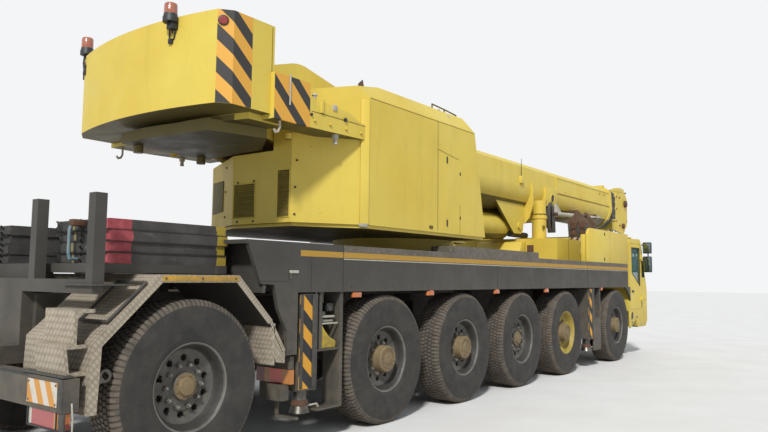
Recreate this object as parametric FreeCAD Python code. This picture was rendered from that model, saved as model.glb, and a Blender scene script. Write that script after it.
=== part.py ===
import FreeCAD, Part
import math
import os

Vector = FreeCAD.Vector

# Six axle truck crane with a telescopic boom. Millimetres.
# While modelling, X runs forward from the rearmost axle, Y to the left and Z up, with the axles at axle_z.
# Each piece is moved at the end so that the origin is on the ground under the middle of the crane.

# Overall
rear_end = -1050.0
front_end = 14350.0
half_width = 1500.0

# Wheels
tyre_radius = 685.0
axle_z = 685.0
tyre_half_width = 192.5
rim_radius = 330.0
flange_height = 25.0
wheel_plane = half_width - 200.0
kingpin_plane = wheel_plane - 250.0
kingpin_radius = 30.0
stub_radius = 60.0
seat_gap = 0.3
running_gap = 0.05

# Axles: number from the front, X, whether it steers, whether it is driven
axles = [
    (1, 10000.0, True, True),
    (2, 7500.0, True, True),
    (3, 5850.0, True, False),
    (4, 4200.0, False, True),
    (5, 2550.0, True, True),
    (6, 0.0, True, False),
]

# Carrier frame and decks
frame_half = 450.0
frame_bottom = 930.0
frame_top = 1400.0
frame_rear = -740.0
deck_top = 1870.0
deck_plate = 35.0
skirt_bottom = 1410.0
skirt_thickness = 40.0
deck_rear = 500.0
deck_plate_rear = 580.0
deck_front = 10640.0
walkway_top = 1957.0
walkway_front = 6380.0

# Outriggers: end of the crane, X of the right beam, X of the left beam
outriggers = [
    ("rear", 1290.0, 1610.0),
    ("front", 8570.0, 8890.0),
]
beam_width = 250.0
beam_height = 370.0
beam_bottom = 965.0
beam_pad_gap = 5.0
box_wall = 30.0
box_end = half_width - 230.0
beam_tail = box_end - 20.0
jack_plane = half_width - 110.0
jack_house_half = 100.0
jack_half = 115.0
jack_house_bottom = 510.0
jack_house_top = 1395.0
jack_rod_radius = 65.0
jack_foot_radius = 100.0
jack_foot_bottom = 300.0

# Superstructure
slew_x = 4650.0
ring_radius = 880.0
ring_split = 1715.0
plate_bottom = 2080.0
plate_top = 2116.0
cheek_inside = 540.0
cheek_thickness = 60.0
pivot_x = 3000.0
pivot_z = 3300.0
pivot_radius = 90.0
low_house_top = 2889.0
house_rear = 1598.0
house_side = half_width - 138.0
house_front = 4931.0
winch_x = 1900.0
winch_z = 3250.0
winch_shaft = 60.0

# Boom
boom_half = 450.0
boom_mid_z = 3250.0
boom_top = 3700.0
boom_wall = 20.0
section_step = 38.0
boom_rear = 3450.0
boom_front = 12800.0
collar_length = 110.0
collar_gap = 5.0
sections = 3
sheave_radius = 250.0
sheave_z = 3470.0

# Luffing cylinder
luff_foot_x = 4300.0
luff_foot_z = 2350.0
luff_eye_x = 8150.0
luff_eye_z = 2530.0
barrel_radius = 240.0
barrel_bore = 200.0
rod_radius = 150.0
luff_pin_radius = 70.0

# Cabs
cab_rear = 10800.0
cab_front = 11950.0
cab_half = half_width - 20.0
cab_wall = 50.0
cab_roof = 2400.0
cab_bottom = 580.0
cab_floor_z = 900.0
door_gap = 5.0
door_rear = 10880.0
door_front = 11560.0
crane_cab_inner = 620.0
crane_cab_outer = half_width - 50.0

middle = (rear_end + front_end) / 2.0


def box(x0, x1, y0, y1, z0, z1):
    return Part.makeBox(x1 - x0, y1 - y0, z1 - z0, Vector(x0, y0, z0))


def round_bar(axis, start, radius, length):
    directions = {"x": Vector(1, 0, 0), "y": Vector(0, 1, 0), "z": Vector(0, 0, 1)}
    return Part.makeCylinder(radius, length, Vector(*start), directions[axis])


def outline(corners, place):
    # Corners are rows of (u, v) or (u, v, radius). Place turns u and v into a point.
    rows = [tuple(row) + (0.0,) * (3 - len(row)) for row in corners]
    starts = []
    ends = []
    edges = []
    for index, (u, v, radius) in enumerate(rows):
        corner = place(u, v)
        if radius == 0.0:
            starts.append(corner)
            ends.append(corner)
            continue
        before = place(*rows[index - 1][:2]) - corner
        after = place(*rows[(index + 1) % len(rows)][:2]) - corner
        before.normalize()
        after.normalize()
        half = before.getAngle(after) / 2.0
        start = corner + before * (radius / math.tan(half))
        end = corner + after * (radius / math.tan(half))
        inward = before + after
        inward.normalize()
        middle_point = corner + inward * (radius / math.sin(half) - radius)
        edges.append(Part.Arc(start, middle_point, end).toShape())
        starts.append(start)
        ends.append(end)
    for index in range(len(rows)):
        start = ends[index - 1]
        end = starts[index]
        if start.distanceToPoint(end) > 0.001:
            edges.append(Part.LineSegment(start, end).toShape())
    return Part.Wire(Part.__sortEdges__(edges))


def side_prism(corners, y0, y1):
    # Corners are rows of X, Z and corner radius.
    wire = outline(corners, lambda u, v: Vector(u, y0, v))
    return Part.Face(wire).extrude(Vector(0, y1 - y0, 0))


def plan_prism(corners, z0, z1):
    # Corners are rows of X, Y and corner radius.
    wire = outline(corners, lambda u, v: Vector(u, v, z0))
    return Part.Face(wire).extrude(Vector(0, 0, z1 - z0))


def cross_prism(corners, x0, x1):
    # Corners are rows of Y, Z and corner radius.
    wire = outline(corners, lambda u, v: Vector(x0, u, v))
    return Part.Face(wire).extrude(Vector(x1 - x0, 0, 0))


def turned_about_y(corners, x, y, z):
    # Corners are rows of radius and distance along Y from the place x, y, z.
    wire = outline(corners, lambda u, v: Vector(x + u, y + v, z))
    return Part.Face(wire).revolve(Vector(x, y, z), Vector(0, 1, 0), 360)


def mirrored(shape):
    return shape.mirror(Vector(0, 0, 0), Vector(0, 1, 0))


def fused(shapes):
    result = shapes[0]
    if len(shapes) > 1:
        result = shapes[0].multiFuse(shapes[1:])
    return result.removeSplitter()


def cut(shape, tools):
    return shape.cut(tools)


def both_sides(shape):
    return [shape, mirrored(shape)]


def save(node, shapes):
    solids = []
    for shape in shapes:
        solids.extend(shape.Solids)
    placed = Part.makeCompound(solids)
    placed.translate(Vector(-middle, 0, tyre_radius - axle_z))
    placed.exportStep("parts/" + node + ".step")


# Wheels. A profile row is radius and distance outwards from the wheel's middle plane.

def tyre_profile():
    bead = rim_radius + seat_gap
    seat = 150.0 - seat_gap
    half = [
        (bead, seat),
        (515.0, tyre_half_width),
        (648.0, 177.0),
        (tyre_radius, 135.0),
    ]
    return half + [(radius, -across) for radius, across in reversed(half)]


def rim_profile(driven):
    flange = rim_radius + flange_height
    outer_half = [(rim_radius, 150.0), (flange, 150.0), (flange, 162.0), (310.0, 162.0)]
    hub = [(310.0, 40.0), (250.0, 15.0), (170.0, 15.0)]
    if driven:
        hub = hub + [(170.0, 60.0), (140.0, 75.0), (140.0, 165.0), (115.0, 185.0), (0.0, 185.0)]
    else:
        hub = hub + [(150.0, 45.0), (85.0, 45.0), (75.0, 105.0), (0.0, 105.0)]
    bore = stub_radius + running_gap
    inside = [(0.0, -30.0), (bore, -30.0), (bore, -170.0), (120.0, -170.0), (120.0, -5.0), (250.0, -5.0)]
    inner_half = [(310.0, 15.0), (310.0, -162.0), (flange, -162.0), (flange, -150.0), (rim_radius, -150.0)]
    return outer_half + hub + inside + inner_half


def wheel(x, driven):
    tyre = turned_about_y(tyre_profile(), x, wheel_plane, axle_z)
    rim = turned_about_y(rim_profile(driven), x, wheel_plane, axle_z)
    return [tyre, rim]


# A knuckle turns on two short kingpins between the lugs of its axle.

boss_radius = 50.0
boss_half = 150.0
lug_thickness = 40.0


def knuckle(x):
    low = axle_z - boss_half + seat_gap
    high = axle_z + boss_half - seat_gap
    boss = round_bar("z", (x, kingpin_plane, low), boss_radius, high - low)
    pin_length = 2.0 * (boss_half + lug_thickness + 5.0)
    pin = round_bar("z", (x, kingpin_plane, axle_z - pin_length / 2.0), kingpin_radius, pin_length)
    stub_end = wheel_plane - 35.0
    stub = round_bar("y", (x, kingpin_plane, axle_z), stub_radius, stub_end - kingpin_plane)
    arm_bottom = axle_z + pin_length / 2.0
    arm = plan_prism(
        [(x - 305.0, kingpin_plane - 110.0), (x - 290.0, kingpin_plane - 50.0),
         (x + 20.0, kingpin_plane + 50.0), (x + 50.0, kingpin_plane), (x + 20.0, kingpin_plane - 50.0)],
        arm_bottom, arm_bottom + 35.0)
    return fused([boss, pin, stub, arm])


# An axle is a beam with a housing in its middle, lugs or a fixed stub at its ends and two struts.

strut_y = 600.0
strut_radius = 60.0
strut_bracket = 1250.0
beam_half = 88.0
beam_chamfer = 28.0
beam_end = kingpin_plane - 90.0
case_radius = 210.0
case_end = 150.0
case_half = 170.0
lug_bar = 50.0


def axle(x, steers, driven):
    low = axle_z - beam_half
    high = axle_z + beam_half
    edge = beam_chamfer
    beam = side_prism(
        [(x - beam_half, low + edge), (x - beam_half + edge, low), (x + beam_half - edge, low),
         (x + beam_half, low + edge), (x + beam_half, high - edge), (x + beam_half - edge, high),
         (x - beam_half + edge, high), (x - beam_half, high - edge)], -beam_end, beam_end)
    pieces = [beam]
    if driven:
        pieces.append(turned_about_y([(0.0, -case_half), (case_end, -case_half), (case_radius, -70.0),
                                      (case_radius, 70.0), (case_end, case_half), (0.0, case_half)],
                                     x, 0.0, axle_z))
    for side in (-1.0, 1.0):
        pieces.append(round_bar("z", (x, side * strut_y, axle_z), strut_radius,
                                strut_bracket - axle_z))
        if steers:
            pieces.extend(axle_lugs(x, side))
        else:
            start = beam_end if side > 0 else -(wheel_plane - 35.0)
            pieces.append(round_bar("y", (x, start, axle_z), stub_radius, wheel_plane - 35.0 - beam_end))
    shape = fused(pieces)
    if steers:
        holes = []
        for side in (-1.0, 1.0):
            holes.append(round_bar("z", (x, side * kingpin_plane, axle_z - 300.0),
                                   kingpin_radius + running_gap, 600.0))
        shape = cut(shape, holes)
    return shape


def axle_lugs(x, side):
    web_ends = sorted((side * (beam_end - 20.0), side * (beam_end + 25.0)))
    web = box(x - lug_bar, x + lug_bar, web_ends[0], web_ends[1],
              axle_z - boss_half - lug_thickness, axle_z + boss_half + lug_thickness)
    pieces = [web]
    for bottom in (axle_z - boss_half - lug_thickness, axle_z + boss_half):
        ends = sorted((side * (beam_end - 20.0), side * kingpin_plane))
        pieces.append(box(x - lug_bar, x + lug_bar, ends[0], ends[1], bottom, bottom + lug_thickness))
        pieces.append(round_bar("z", (x, side * kingpin_plane, bottom), lug_bar, lug_thickness))
    return pieces


# Carrier frame with the outrigger boxes, strut brackets, slewing ring seat and engine.

def beam_channel(x):
    half = beam_width / 2.0 + beam_pad_gap
    return (x - half, x + half)


def outrigger_box(right_x, left_x):
    low = beam_channel(right_x)[0] - box_wall
    high = beam_channel(left_x)[1] + box_wall
    return box(low, high, -box_end, box_end, beam_bottom - seat_gap - box_wall,
               beam_bottom + beam_height + beam_pad_gap + box_wall)


def chassis():
    profile = [(frame_rear, frame_bottom + 60.0), (-500.0, frame_bottom), (10250.0, frame_bottom),
               (10480.0, 660.0, 60.0), (11150.0, 660.0, 60.0), (11150.0, cab_floor_z),
               (10760.0, cab_floor_z, 30.0), (10640.0, frame_top, 60.0), (frame_rear, frame_top)]
    pieces = [side_prism(profile, -frame_half, frame_half)]
    for end, right_x, left_x in outriggers:
        pieces.append(outrigger_box(right_x, left_x))
    for number, x, steers, driven in axles:
        pieces.append(box(x - 95.0, x + 95.0, -strut_y - 80.0, strut_y + 80.0, strut_bracket, frame_top - 20.0))
    pieces.append(round_bar("z", (slew_x, 0, frame_top - 50.0), ring_radius, ring_split - frame_top + 50.0))
    shape = fused(pieces)
    channels = []
    for end, right_x, left_x in outriggers:
        for x in (right_x, left_x):
            low, high = beam_channel(x)
            channels.append(box(low, high, -box_end - 10.0, box_end + 10.0, beam_bottom - seat_gap,
                                beam_bottom + beam_height + beam_pad_gap))
    return cut(shape, channels)


def engine_block():
    return box(9780.0, 10560.0, -380.0, 380.0, frame_top, 2180.0)


# Side decks: a plate on top, a skirt outside, ribs to the frame.

rib_thickness = 30.0
leg_bottom = 850.0
leg_front = 1129.0
rib_places = [700.0, 1750.0, 3375.0, 6675.0, 8350.0, 9120.0, 10560.0]


def side_deck():
    top = box(deck_plate_rear, deck_front, -half_width, -frame_half - 10.0, deck_top - deck_plate, deck_top)
    edge = box(deck_rear, deck_plate_rear, -half_width, -half_width + 305.0, deck_top - deck_plate, deck_top)
    skirt = side_prism([(deck_rear, deck_top), (deck_rear + 90.0, 1660.0), (deck_rear + 170.0, 1490.0),
                        (828.0, 1480.0), (887.0, 1257.0), (997.0, 1066.0), (1004.0, leg_bottom),
                        (leg_front, leg_bottom), (leg_front, skirt_bottom), (9750.0, skirt_bottom),
                        (deck_front, skirt_bottom), (deck_front, deck_top)],
                       -half_width, -half_width + skirt_thickness)
    walkway = box(3900.0, walkway_front, -half_width + 3.0, -half_width + 350.0, deck_top - 10.0, walkway_top)
    pieces = [top, edge, skirt, walkway]
    for x in rib_places:
        pieces.append(box(x, x + rib_thickness, -half_width + 10.0, -frame_half, skirt_bottom, deck_top - 10.0))
        pieces.append(box(x, x + rib_thickness, -frame_half - 30.0, -frame_half + 40.0,
                          frame_top, skirt_bottom + 50.0))
    shape = fused(pieces)
    return cut(shape, [round_bar("z", (slew_x, 0, frame_top), ring_radius + 60.0, 1000.0)])


# Plates round the outriggers, drawn for the right side. A bay is the open space beside a jack.

bay_top = skirt_bottom - seat_gap
bay_bottom = 300.0
bay_outer = half_width - 15.0
bay_inner = box_end + seat_gap
bay_sheet = 20.0
bay_post = 45.0
shelf_z = 850.0
step_z = 262.0


def bay_upright(x):
    return box(x, x + bay_post, -bay_outer, -bay_inner, bay_bottom, bay_top)


def bay_shelves(start, end):
    start = start + seat_gap
    end = end - seat_gap
    return [
        box(start, end, -bay_outer + 10.0, -bay_inner, shelf_z, shelf_z + bay_sheet),
        box(start, end, -bay_outer - 10.0, -bay_inner, bay_bottom, bay_bottom + bay_sheet),
    ]


def bay_post_bar(x):
    return box(x, x + 35.0, -bay_outer, -bay_outer + 35.0, shelf_z + bay_sheet + seat_gap, bay_top)


def lamp_holder(x):
    # A hanger below the outrigger box with the arm for the lamps and a box under them.
    hanger_top = beam_bottom - box_wall - 2.0 * seat_gap
    face = x - seat_gap
    return [
        box(x, x + bay_sheet, -box_end + 20.0, -1020.0, 430.0, hanger_top),
        box(x - 55.0, face, -half_width + 35.0, -1020.0, 715.0, 830.0),
        box(x - 100.0, face, -half_width + 95.0, -1220.0, 430.0, 576.0),
        box(x, x + bay_sheet, -box_end + 5.0, -1230.0, step_z + bay_sheet + seat_gap, 430.0 - seat_gap),
        box(x, x + 38.0, -half_width, -1230.0, step_z, step_z + bay_sheet),
    ]


def outrigger_plates(end, right_x, left_x):
    rear = right_x - beam_width / 2.0 - beam_pad_gap - box_wall
    front = left_x + beam_width / 2.0 + beam_pad_gap + box_wall + 15.0 - bay_post
    jack_gap = jack_half + 20.0
    right = [bay_upright(front), bay_post_bar(right_x + jack_gap + 20.0)]
    right.extend(bay_shelves(right_x + jack_gap, front))
    left = [bay_upright(front), bay_upright(rear), bay_post_bar(left_x - jack_gap - 55.0)]
    left.extend(bay_shelves(rear + bay_post, left_x - jack_gap))
    if end == "rear":
        right.extend(lamp_holder(rear))
        left.extend(lamp_holder(rear))
    else:
        for plates, start, stop in ((right, right_x + jack_gap, front), (left, rear + bay_post, left_x - jack_gap)):
            plates.append(box(start + seat_gap, stop - seat_gap, -bay_outer, -bay_outer + bay_sheet,
                              bay_bottom + bay_sheet + seat_gap, shelf_z - seat_gap))
    return right + [mirrored(plate) for plate in left]


# Checker plate fender over the rearmost wheels, with the steps behind it.

fender_inner = 560.0
step_outer = half_width - 60.0
step_inner = half_width - 450.0


def rear_fender():
    outside = [(-340.0, 1560.0), (420.0, 1560.0), (810.0, 1170.0), (985.0, 900.0)]
    inside = [(955.0, 885.0), (783.0, 1150.0), (405.0, 1530.0), (-325.0, 1530.0)]
    rear = [(-830.0, 1075.0), (-850.0, 600.0), (-880.0, 600.0), (-860.0, 1090.0)]
    shell = side_prism(outside + inside + rear, -half_width, -fender_inner)
    hangers = [box(-60.0, 0.0, -fender_inner - 20.0, -frame_half, 1500.0, 1550.0)]
    bracket = side_prism([(-60.0, frame_top - 20.0), (0.0, frame_top - 20.0), (0.0, 1550.0), (-60.0, 1550.0)],
                         -frame_half - 40.0, -frame_half)
    steps = []
    for x, z, depth in ((-970.0, 1290.0, 120.0), (-1040.0, 1050.0, 190.0), (-1010.0, 865.0, 150.0)):
        steps.append(box(x, x + depth + 30.0, -step_outer, -step_inner, z, z + 25.0))
    riser = side_prism([(-1010.0, 865.0), (-985.0, 865.0), (-1015.0, 1060.0), (-1040.0, 1060.0)],
                       -step_outer, -step_inner)
    upper = box(-970.0, -945.0, -step_outer, -step_inner, 1050.0, 1300.0)
    return fused([shell, bracket, riser, upper] + hangers + steps)


# Rear bumper with its platform, the posts and the cross beams that carry the support mats.

post_size = 90.0
post_top = 2140.0
post_outer = half_width - 140.0
post_places = [-post_outer, -535.0, 535.0, post_outer]
rack_bottom = 1570.0
rack_top = 1640.0
mat_outer = half_width - 330.0
mat_inner = 420.0


def rear_rack():
    bumper = box(rear_end, rear_end + 110.0, -half_width + 5.0, half_width - 5.0, 640.0, 860.0)
    hollow = box(rear_end + 12.0, rear_end + 110.0, -half_width + 20.0, half_width - 20.0, 655.0, 845.0)
    bumper = cut(bumper, [hollow])
    pieces = [bumper]
    pieces.append(box(rear_end + 5.0, frame_rear, -400.0, 400.0, 860.0, 1000.0))
    post_rear = frame_rear - post_size - 5.0
    for y in post_places:
        pieces.append(box(post_rear, post_rear + post_size, y - post_size / 2.0, y + post_size / 2.0,
                          frame_top + 20.0, post_top))
    pieces.append(box(post_rear, post_rear + post_size, -post_outer, post_outer, frame_top + 20.0, frame_top + 120.0))
    pieces.append(box(post_rear, frame_rear, -400.0, 400.0, 860.0, frame_top + 30.0))
    for x in (-690.0, 420.0):
        pieces.append(box(x, x + 100.0, -mat_outer - 50.0, mat_outer + 50.0, rack_bottom, rack_top))
        pieces.append(box(x, x + 100.0, -400.0, 400.0, frame_top, rack_bottom))
    for y in (-mat_outer - 10.0, -480.0, 380.0, mat_outer - 90.0):
        pieces.append(box(post_rear + post_size - 10.0, 520.0, y, y + 100.0, rack_bottom, rack_top))
    return fused(pieces)


# Support mats: two stacks of boards, each board a little out of line.

mat_layers = [(0.0, 0.0), (-12.0, 8.0), (10.0, -6.0), (-4.0, 10.0)]
mat_height = 86.0
mat_rear = -580.0
mat_front = 550.0


def support_mats():
    boards = []
    bottom = rack_top
    for shift_x, shift_y in mat_layers:
        board = side_prism([(mat_rear + shift_x, bottom, 12.0), (mat_front + shift_x, bottom, 12.0),
                            (mat_front + shift_x, bottom + mat_height, 12.0),
                            (mat_rear + shift_x, bottom + mat_height, 12.0)],
                           -mat_outer + shift_y, -mat_inner + shift_y)
        boards.extend(both_sides(board))
        bottom = bottom + mat_height + seat_gap
    return boards


# Boom rest: a box on the deck, two posts and a cross pad under the boom.

rest_base_top = 2290.0
rest_pad_top = 2775.0


def boom_rest():
    base = box(8150.0, 9250.0, -1050.0, 1050.0, deck_top, rest_base_top)
    bay = box(8250.0, 9150.0, -940.0, 940.0, deck_top - 10.0, rest_base_top - 40.0)
    posts = []
    for side in (-1.0, 1.0):
        foot = rest_base_top + seat_gap
        posts.append(round_bar("z", (8730.0, side * 450.0, foot), 135.0, rest_pad_top - 10.0 - foot))
        posts.append(round_bar("z", (8730.0, side * 450.0, 2690.0), 150.0, 60.0))
    posts.append(box(8630.0, 8830.0, -450.0, 450.0, 2635.0, rest_pad_top))
    return [cut(base, [bay]), fused(posts)]


# Hood behind the driver's cab: two side wings with a rounded corner and an engine cover.

hood_top = 2480.0
wing_thickness = 140.0


def engine_hood():
    wing = side_prism([(8450.0, deck_top), (10700.0, deck_top), (10700.0, hood_top, 20.0),
                       (8490.0, hood_top - 20.0, 170.0)], -half_width, -half_width + wing_thickness)
    cover = side_prism([(9700.0, deck_top), (10700.0, deck_top), (10700.0, 2420.0, 30.0),
                        (9760.0, 2380.0, 90.0)], -half_width + wing_thickness, half_width - wing_thickness)
    cover_half = half_width - 200.0
    hollow = box(9760.0, 10640.0, -cover_half, cover_half, deck_top - 10.0, 2330.0)
    slots = []
    for index in range(8):
        slots.append(box(9840.0 + index * 100.0, 9890.0 + index * 100.0, -600.0, 600.0, 2320.0, 2500.0))
    return [fused(both_sides(wing) + [cut(cover, [hollow] + slots)])]


# Driver's cab: a hollow shell with cut windows, glass, doors and seats.

cab_outline = [(cab_rear, cab_floor_z, 40.0), (cab_rear, cab_roof, 90.0), (11560.0, cab_roof + 20.0, 120.0),
               (11880.0, 1560.0, 60.0), (cab_front, 1380.0, 80.0), (cab_front, 700.0, 60.0),
               (11820.0, cab_bottom, 60.0), (11250.0, cab_bottom, 60.0), (11180.0, cab_floor_z, 20.0)]


# Door hinges: knuckles on the leaf turn on pins held by lugs on the body.
# Out is the side of the surface that the hinge stands on, towards is where the leaf lies from the hinge.

hinge_pin = 8.0
hinge_radius = 14.0
hinge_stand = 16.0
hinge_height = 80.0


def hinge_knuckles(x, surface, out, towards, places):
    y = surface + out * hinge_stand
    pieces = []
    for z in places:
        knuckle_bar = round_bar("z", (x, y, z), hinge_radius, hinge_height)
        flap = hinge_flap(x, surface, out, towards, z, hinge_height)
        hole = round_bar("z", (x, y, z - 5.0), hinge_pin + running_gap, hinge_height + 10.0)
        pieces.append(cut(fused([knuckle_bar, flap]), [hole]))
    return pieces


def hinge_flap(x, surface, out, towards, z, height):
    ys = sorted((surface - out * 5.0, surface + out * hinge_stand))
    xs = sorted((x + towards * hinge_stand, x + towards * 60.0))
    bridge_ys = sorted((surface + out * (hinge_stand - 8.0), surface + out * (hinge_stand + 8.0)))
    bridge_xs = sorted((x, x + towards * 60.0))
    return fused([box(xs[0], xs[1], ys[0], ys[1], z, z + height),
                  box(bridge_xs[0], bridge_xs[1], bridge_ys[0], bridge_ys[1], z, z + height)])


def hinge_lugs(x, surface, out, towards, places):
    y = surface + out * hinge_stand
    pieces = []
    for z in places:
        lug = 24.0
        pieces.append(round_bar("z", (x, y, z - lug), hinge_pin, hinge_height + 2.0 * lug))
        for bottom in (z - seat_gap - lug, z + hinge_height + seat_gap):
            pieces.append(round_bar("z", (x, y, bottom), hinge_radius, lug))
            pieces.append(hinge_flap(x, surface, out, towards, bottom, lug))
    return pieces


cab_hinge_x = door_front + door_gap / 2.0
cab_hinge_places = [1130.0, 1990.0]
crane_hinge_places = [2400.0, 3200.0]
head_lamp_y = cab_half - 250.0


def cab_inside():
    wall = cab_wall
    return [(cab_rear + wall, 1010.0, 20.0), (cab_rear + wall, cab_roof - wall, 60.0),
            (11535.0, cab_roof + 20.0 - wall, 80.0), (11825.0, 1560.0, 30.0),
            (11840.0, 1400.0, 30.0), (11840.0, 1010.0)]


def door_outline(margin):
    return [(door_rear + margin, 950.0 + margin, 40.0), (door_front - margin, 950.0 + margin, 40.0),
            (door_front - margin, 2310.0 - margin, 60.0), (door_rear + margin, 2310.0 - margin, 60.0)]


def door_window():
    return [(door_rear + 80.0, 1700.0, 30.0), (door_front - 80.0, 1430.0, 30.0),
            (door_front - 80.0, 2220.0, 50.0), (door_rear + 80.0, 2220.0, 50.0)]


def driver_cab():
    shell = side_prism(cab_outline, -cab_half, cab_half)
    inside = side_prism(cab_inside(), -cab_half + cab_wall, cab_half - cab_wall)
    tools = [inside]
    for y0, y1 in ((-cab_half - 10.0, -cab_half + cab_wall + 1.0), (cab_half - cab_wall - 1.0, cab_half + 10.0)):
        tools.append(side_prism(door_outline(0.0), y0, y1))
        tools.append(side_prism([(door_front + 60.0, 1620.0, 20.0), (11800.0, 1620.0, 20.0),
                                 (11660.0, 2000.0, 20.0), (door_front + 60.0, 2260.0, 20.0)], y0, y1))
    front = side_prism([(11480.0, 2320.0), (11780.0, 1620.0), (12100.0, 1620.0), (11900.0, 2320.0)],
                       -cab_half + 90.0, cab_half - 90.0)
    tools.append(front)
    tools.append(box(cab_rear - 10.0, cab_rear + cab_wall + 10.0, -1000.0, 1000.0, 1750.0, 2250.0))
    for side in (-1.0, 1.0):
        tools.append(round_bar("x", (cab_front - 60.0, side * head_lamp_y, 860.0), 105.0, 100.0))
    lugs = hinge_lugs(cab_hinge_x, -cab_half, -1.0, 1.0, cab_hinge_places)
    hinges = lugs + [mirrored(piece) for piece in lugs]
    return [fused([cut(shell, tools)] + hinges)]


def cab_glass():
    # The front window lies in the sloping opening, the others lie in the side and rear walls.
    thickness = 8.0
    panes = []
    slope = (11880.0 - 11560.0) / (cab_roof + 20.0 - 1560.0)
    low_x = 11880.0 - (1620.0 - 1560.0) * slope - 25.0
    high_x = 11880.0 - (2320.0 - 1560.0) * slope - 25.0
    panes.append(side_prism([(low_x - thickness, 1620.0 + seat_gap), (low_x, 1620.0 + seat_gap),
                             (high_x, 2320.0 - seat_gap), (high_x - thickness, 2320.0 - seat_gap)],
                            -cab_half + 90.0 + seat_gap, cab_half - 90.0 - seat_gap))
    gap = seat_gap
    panes.append(box(cab_rear + 20.0, cab_rear + 20.0 + thickness, -1000.0 + gap, 1000.0 - gap,
                     1750.0 + gap, 2250.0 - gap))
    quarter = side_prism([(door_front + 60.0 + gap, 1620.0 + gap, 20.0), (11800.0 - 2 * gap, 1620.0 + gap, 20.0),
                          (11660.0 - gap, 2000.0 - gap, 20.0), (door_front + 60.0 + gap, 2260.0 - 2 * gap, 20.0)],
                         -cab_half + 20.0, -cab_half + 20.0 + thickness)
    panes.extend(both_sides(quarter))
    return panes


def cab_door():
    leaf = side_prism(door_outline(door_gap), -cab_half, -cab_half + 45.0)
    recess = side_prism([(door_rear + 40.0, 1000.0, 30.0), (door_front - 40.0, 1000.0, 30.0),
                         (door_front - 40.0, 1330.0, 30.0), (door_rear + 40.0, 1580.0, 30.0)],
                        -cab_half + 15.0, -cab_half + 60.0)
    window = side_prism(door_window(), -cab_half - 10.0, -cab_half + 60.0)
    knuckles = hinge_knuckles(cab_hinge_x, -cab_half, -1.0, -1.0, cab_hinge_places)
    return fused([cut(leaf, [window, recess])] + knuckles)


def seat(x, y, z):
    base = box(x, x + 380.0, y - 150.0, y + 150.0, z, z + 260.0)
    cushion = side_prism([(x - 60.0, z + 260.0, 40.0), (x + 460.0, z + 260.0, 40.0),
                          (x + 460.0, z + 390.0, 60.0), (x - 60.0, z + 360.0, 40.0)], y - 250.0, y + 250.0)
    back = side_prism([(x - 60.0, z + 330.0, 30.0), (x + 50.0, z + 370.0, 30.0),
                       (x + 10.0, z + 960.0, 40.0), (x - 90.0, z + 960.0, 40.0)], y - 240.0, y + 240.0)
    return fused([base, cushion, back])


def cab_interior():
    floor = 1010.0
    pieces = [seat(10980.0, 700.0, floor), seat(10980.0, -700.0, floor)]
    dash = side_prism([(11640.0, floor, 0.0), (11835.0, floor, 0.0), (11820.0, 1500.0, 30.0),
                       (11600.0, 1540.0, 60.0), (11560.0, 1380.0, 40.0)], -cab_half + 100.0, cab_half - 100.0)
    column = Part.makeCylinder(35.0, 260.0, Vector(11620.0, 700.0, 1440.0), Vector(-0.7, 0, 0.7))
    axis = Vector(-0.7, 0, 0.7)
    ring_place = Vector(11428.0, 700.0, 1632.0)
    rim = cut(Part.makeCylinder(222.0, 26.0, ring_place, axis), [Part.makeCylinder(194.0, 26.0, ring_place, axis)])
    spoke = Part.makeBox(12.0, 400.0, 30.0, Vector(-6.0, -200.0, -15.0))
    spoke.rotate(Vector(0, 0, 0), Vector(0, 1, 0), -45.0)
    spoke.translate(Vector(11437.0, 700.0, 1623.0))
    pieces.append(fused([dash, column, spoke, rim]))
    return pieces


# Lamps and mirrors on the carrier.

def lamps():
    pieces = []
    for side in (-1.0, 1.0):
        ends = sorted((side * (half_width - 480.0), side * (half_width - 30.0)))
        pieces.append(box(rear_end + 15.0, rear_end + 70.0, ends[0], ends[1], 520.0, 640.0))
        pieces.append(turned_head_lamp(side * head_lamp_y))
        ends = sorted((side * (half_width - 30.0), side * 1020.0))
        arm_rear = outriggers[0][1] - beam_width / 2.0 - beam_pad_gap - box_wall
        pieces.append(box(arm_rear - 45.0, arm_rear - seat_gap, ends[0], ends[1], 580.0, 710.0))
    for x in (2400.0 + 975.0, 5025.0, 6675.0, 9120.0):
        lamp = box(x - 35.0, x + 35.0, -half_width + 2.0, -half_width + 38.0, skirt_bottom - 50.0, skirt_bottom)
        pieces.extend(both_sides(lamp))
    return pieces


def turned_head_lamp(y):
    return round_bar("x", (cab_front - 60.0, y, 860.0), 90.0, 45.0)


def mirrors():
    pieces = []
    arm = fused([round_bar("y", (11683.0, -cab_half - 110.0, 2030.0), 14.0, 110.0),
                 round_bar("x", (11683.0, -cab_half - 110.0, 2030.0), 14.0, 180.0)])
    head = side_prism([(11850.0, 1800.0, 30.0), (11930.0, 1800.0, 30.0), (11930.0, 2160.0, 30.0),
                       (11850.0, 2160.0, 30.0)], -cab_half - 200.0, -cab_half - 60.0)
    pieces.append(fused([arm, head]))
    pieces.append(mirrored(pieces[0]))
    return pieces


# Hook block, stowed upright on the deck.

hook_x = 9480.0
hook_y = -half_width + 500.0
hook_z = 2045.0


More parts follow.
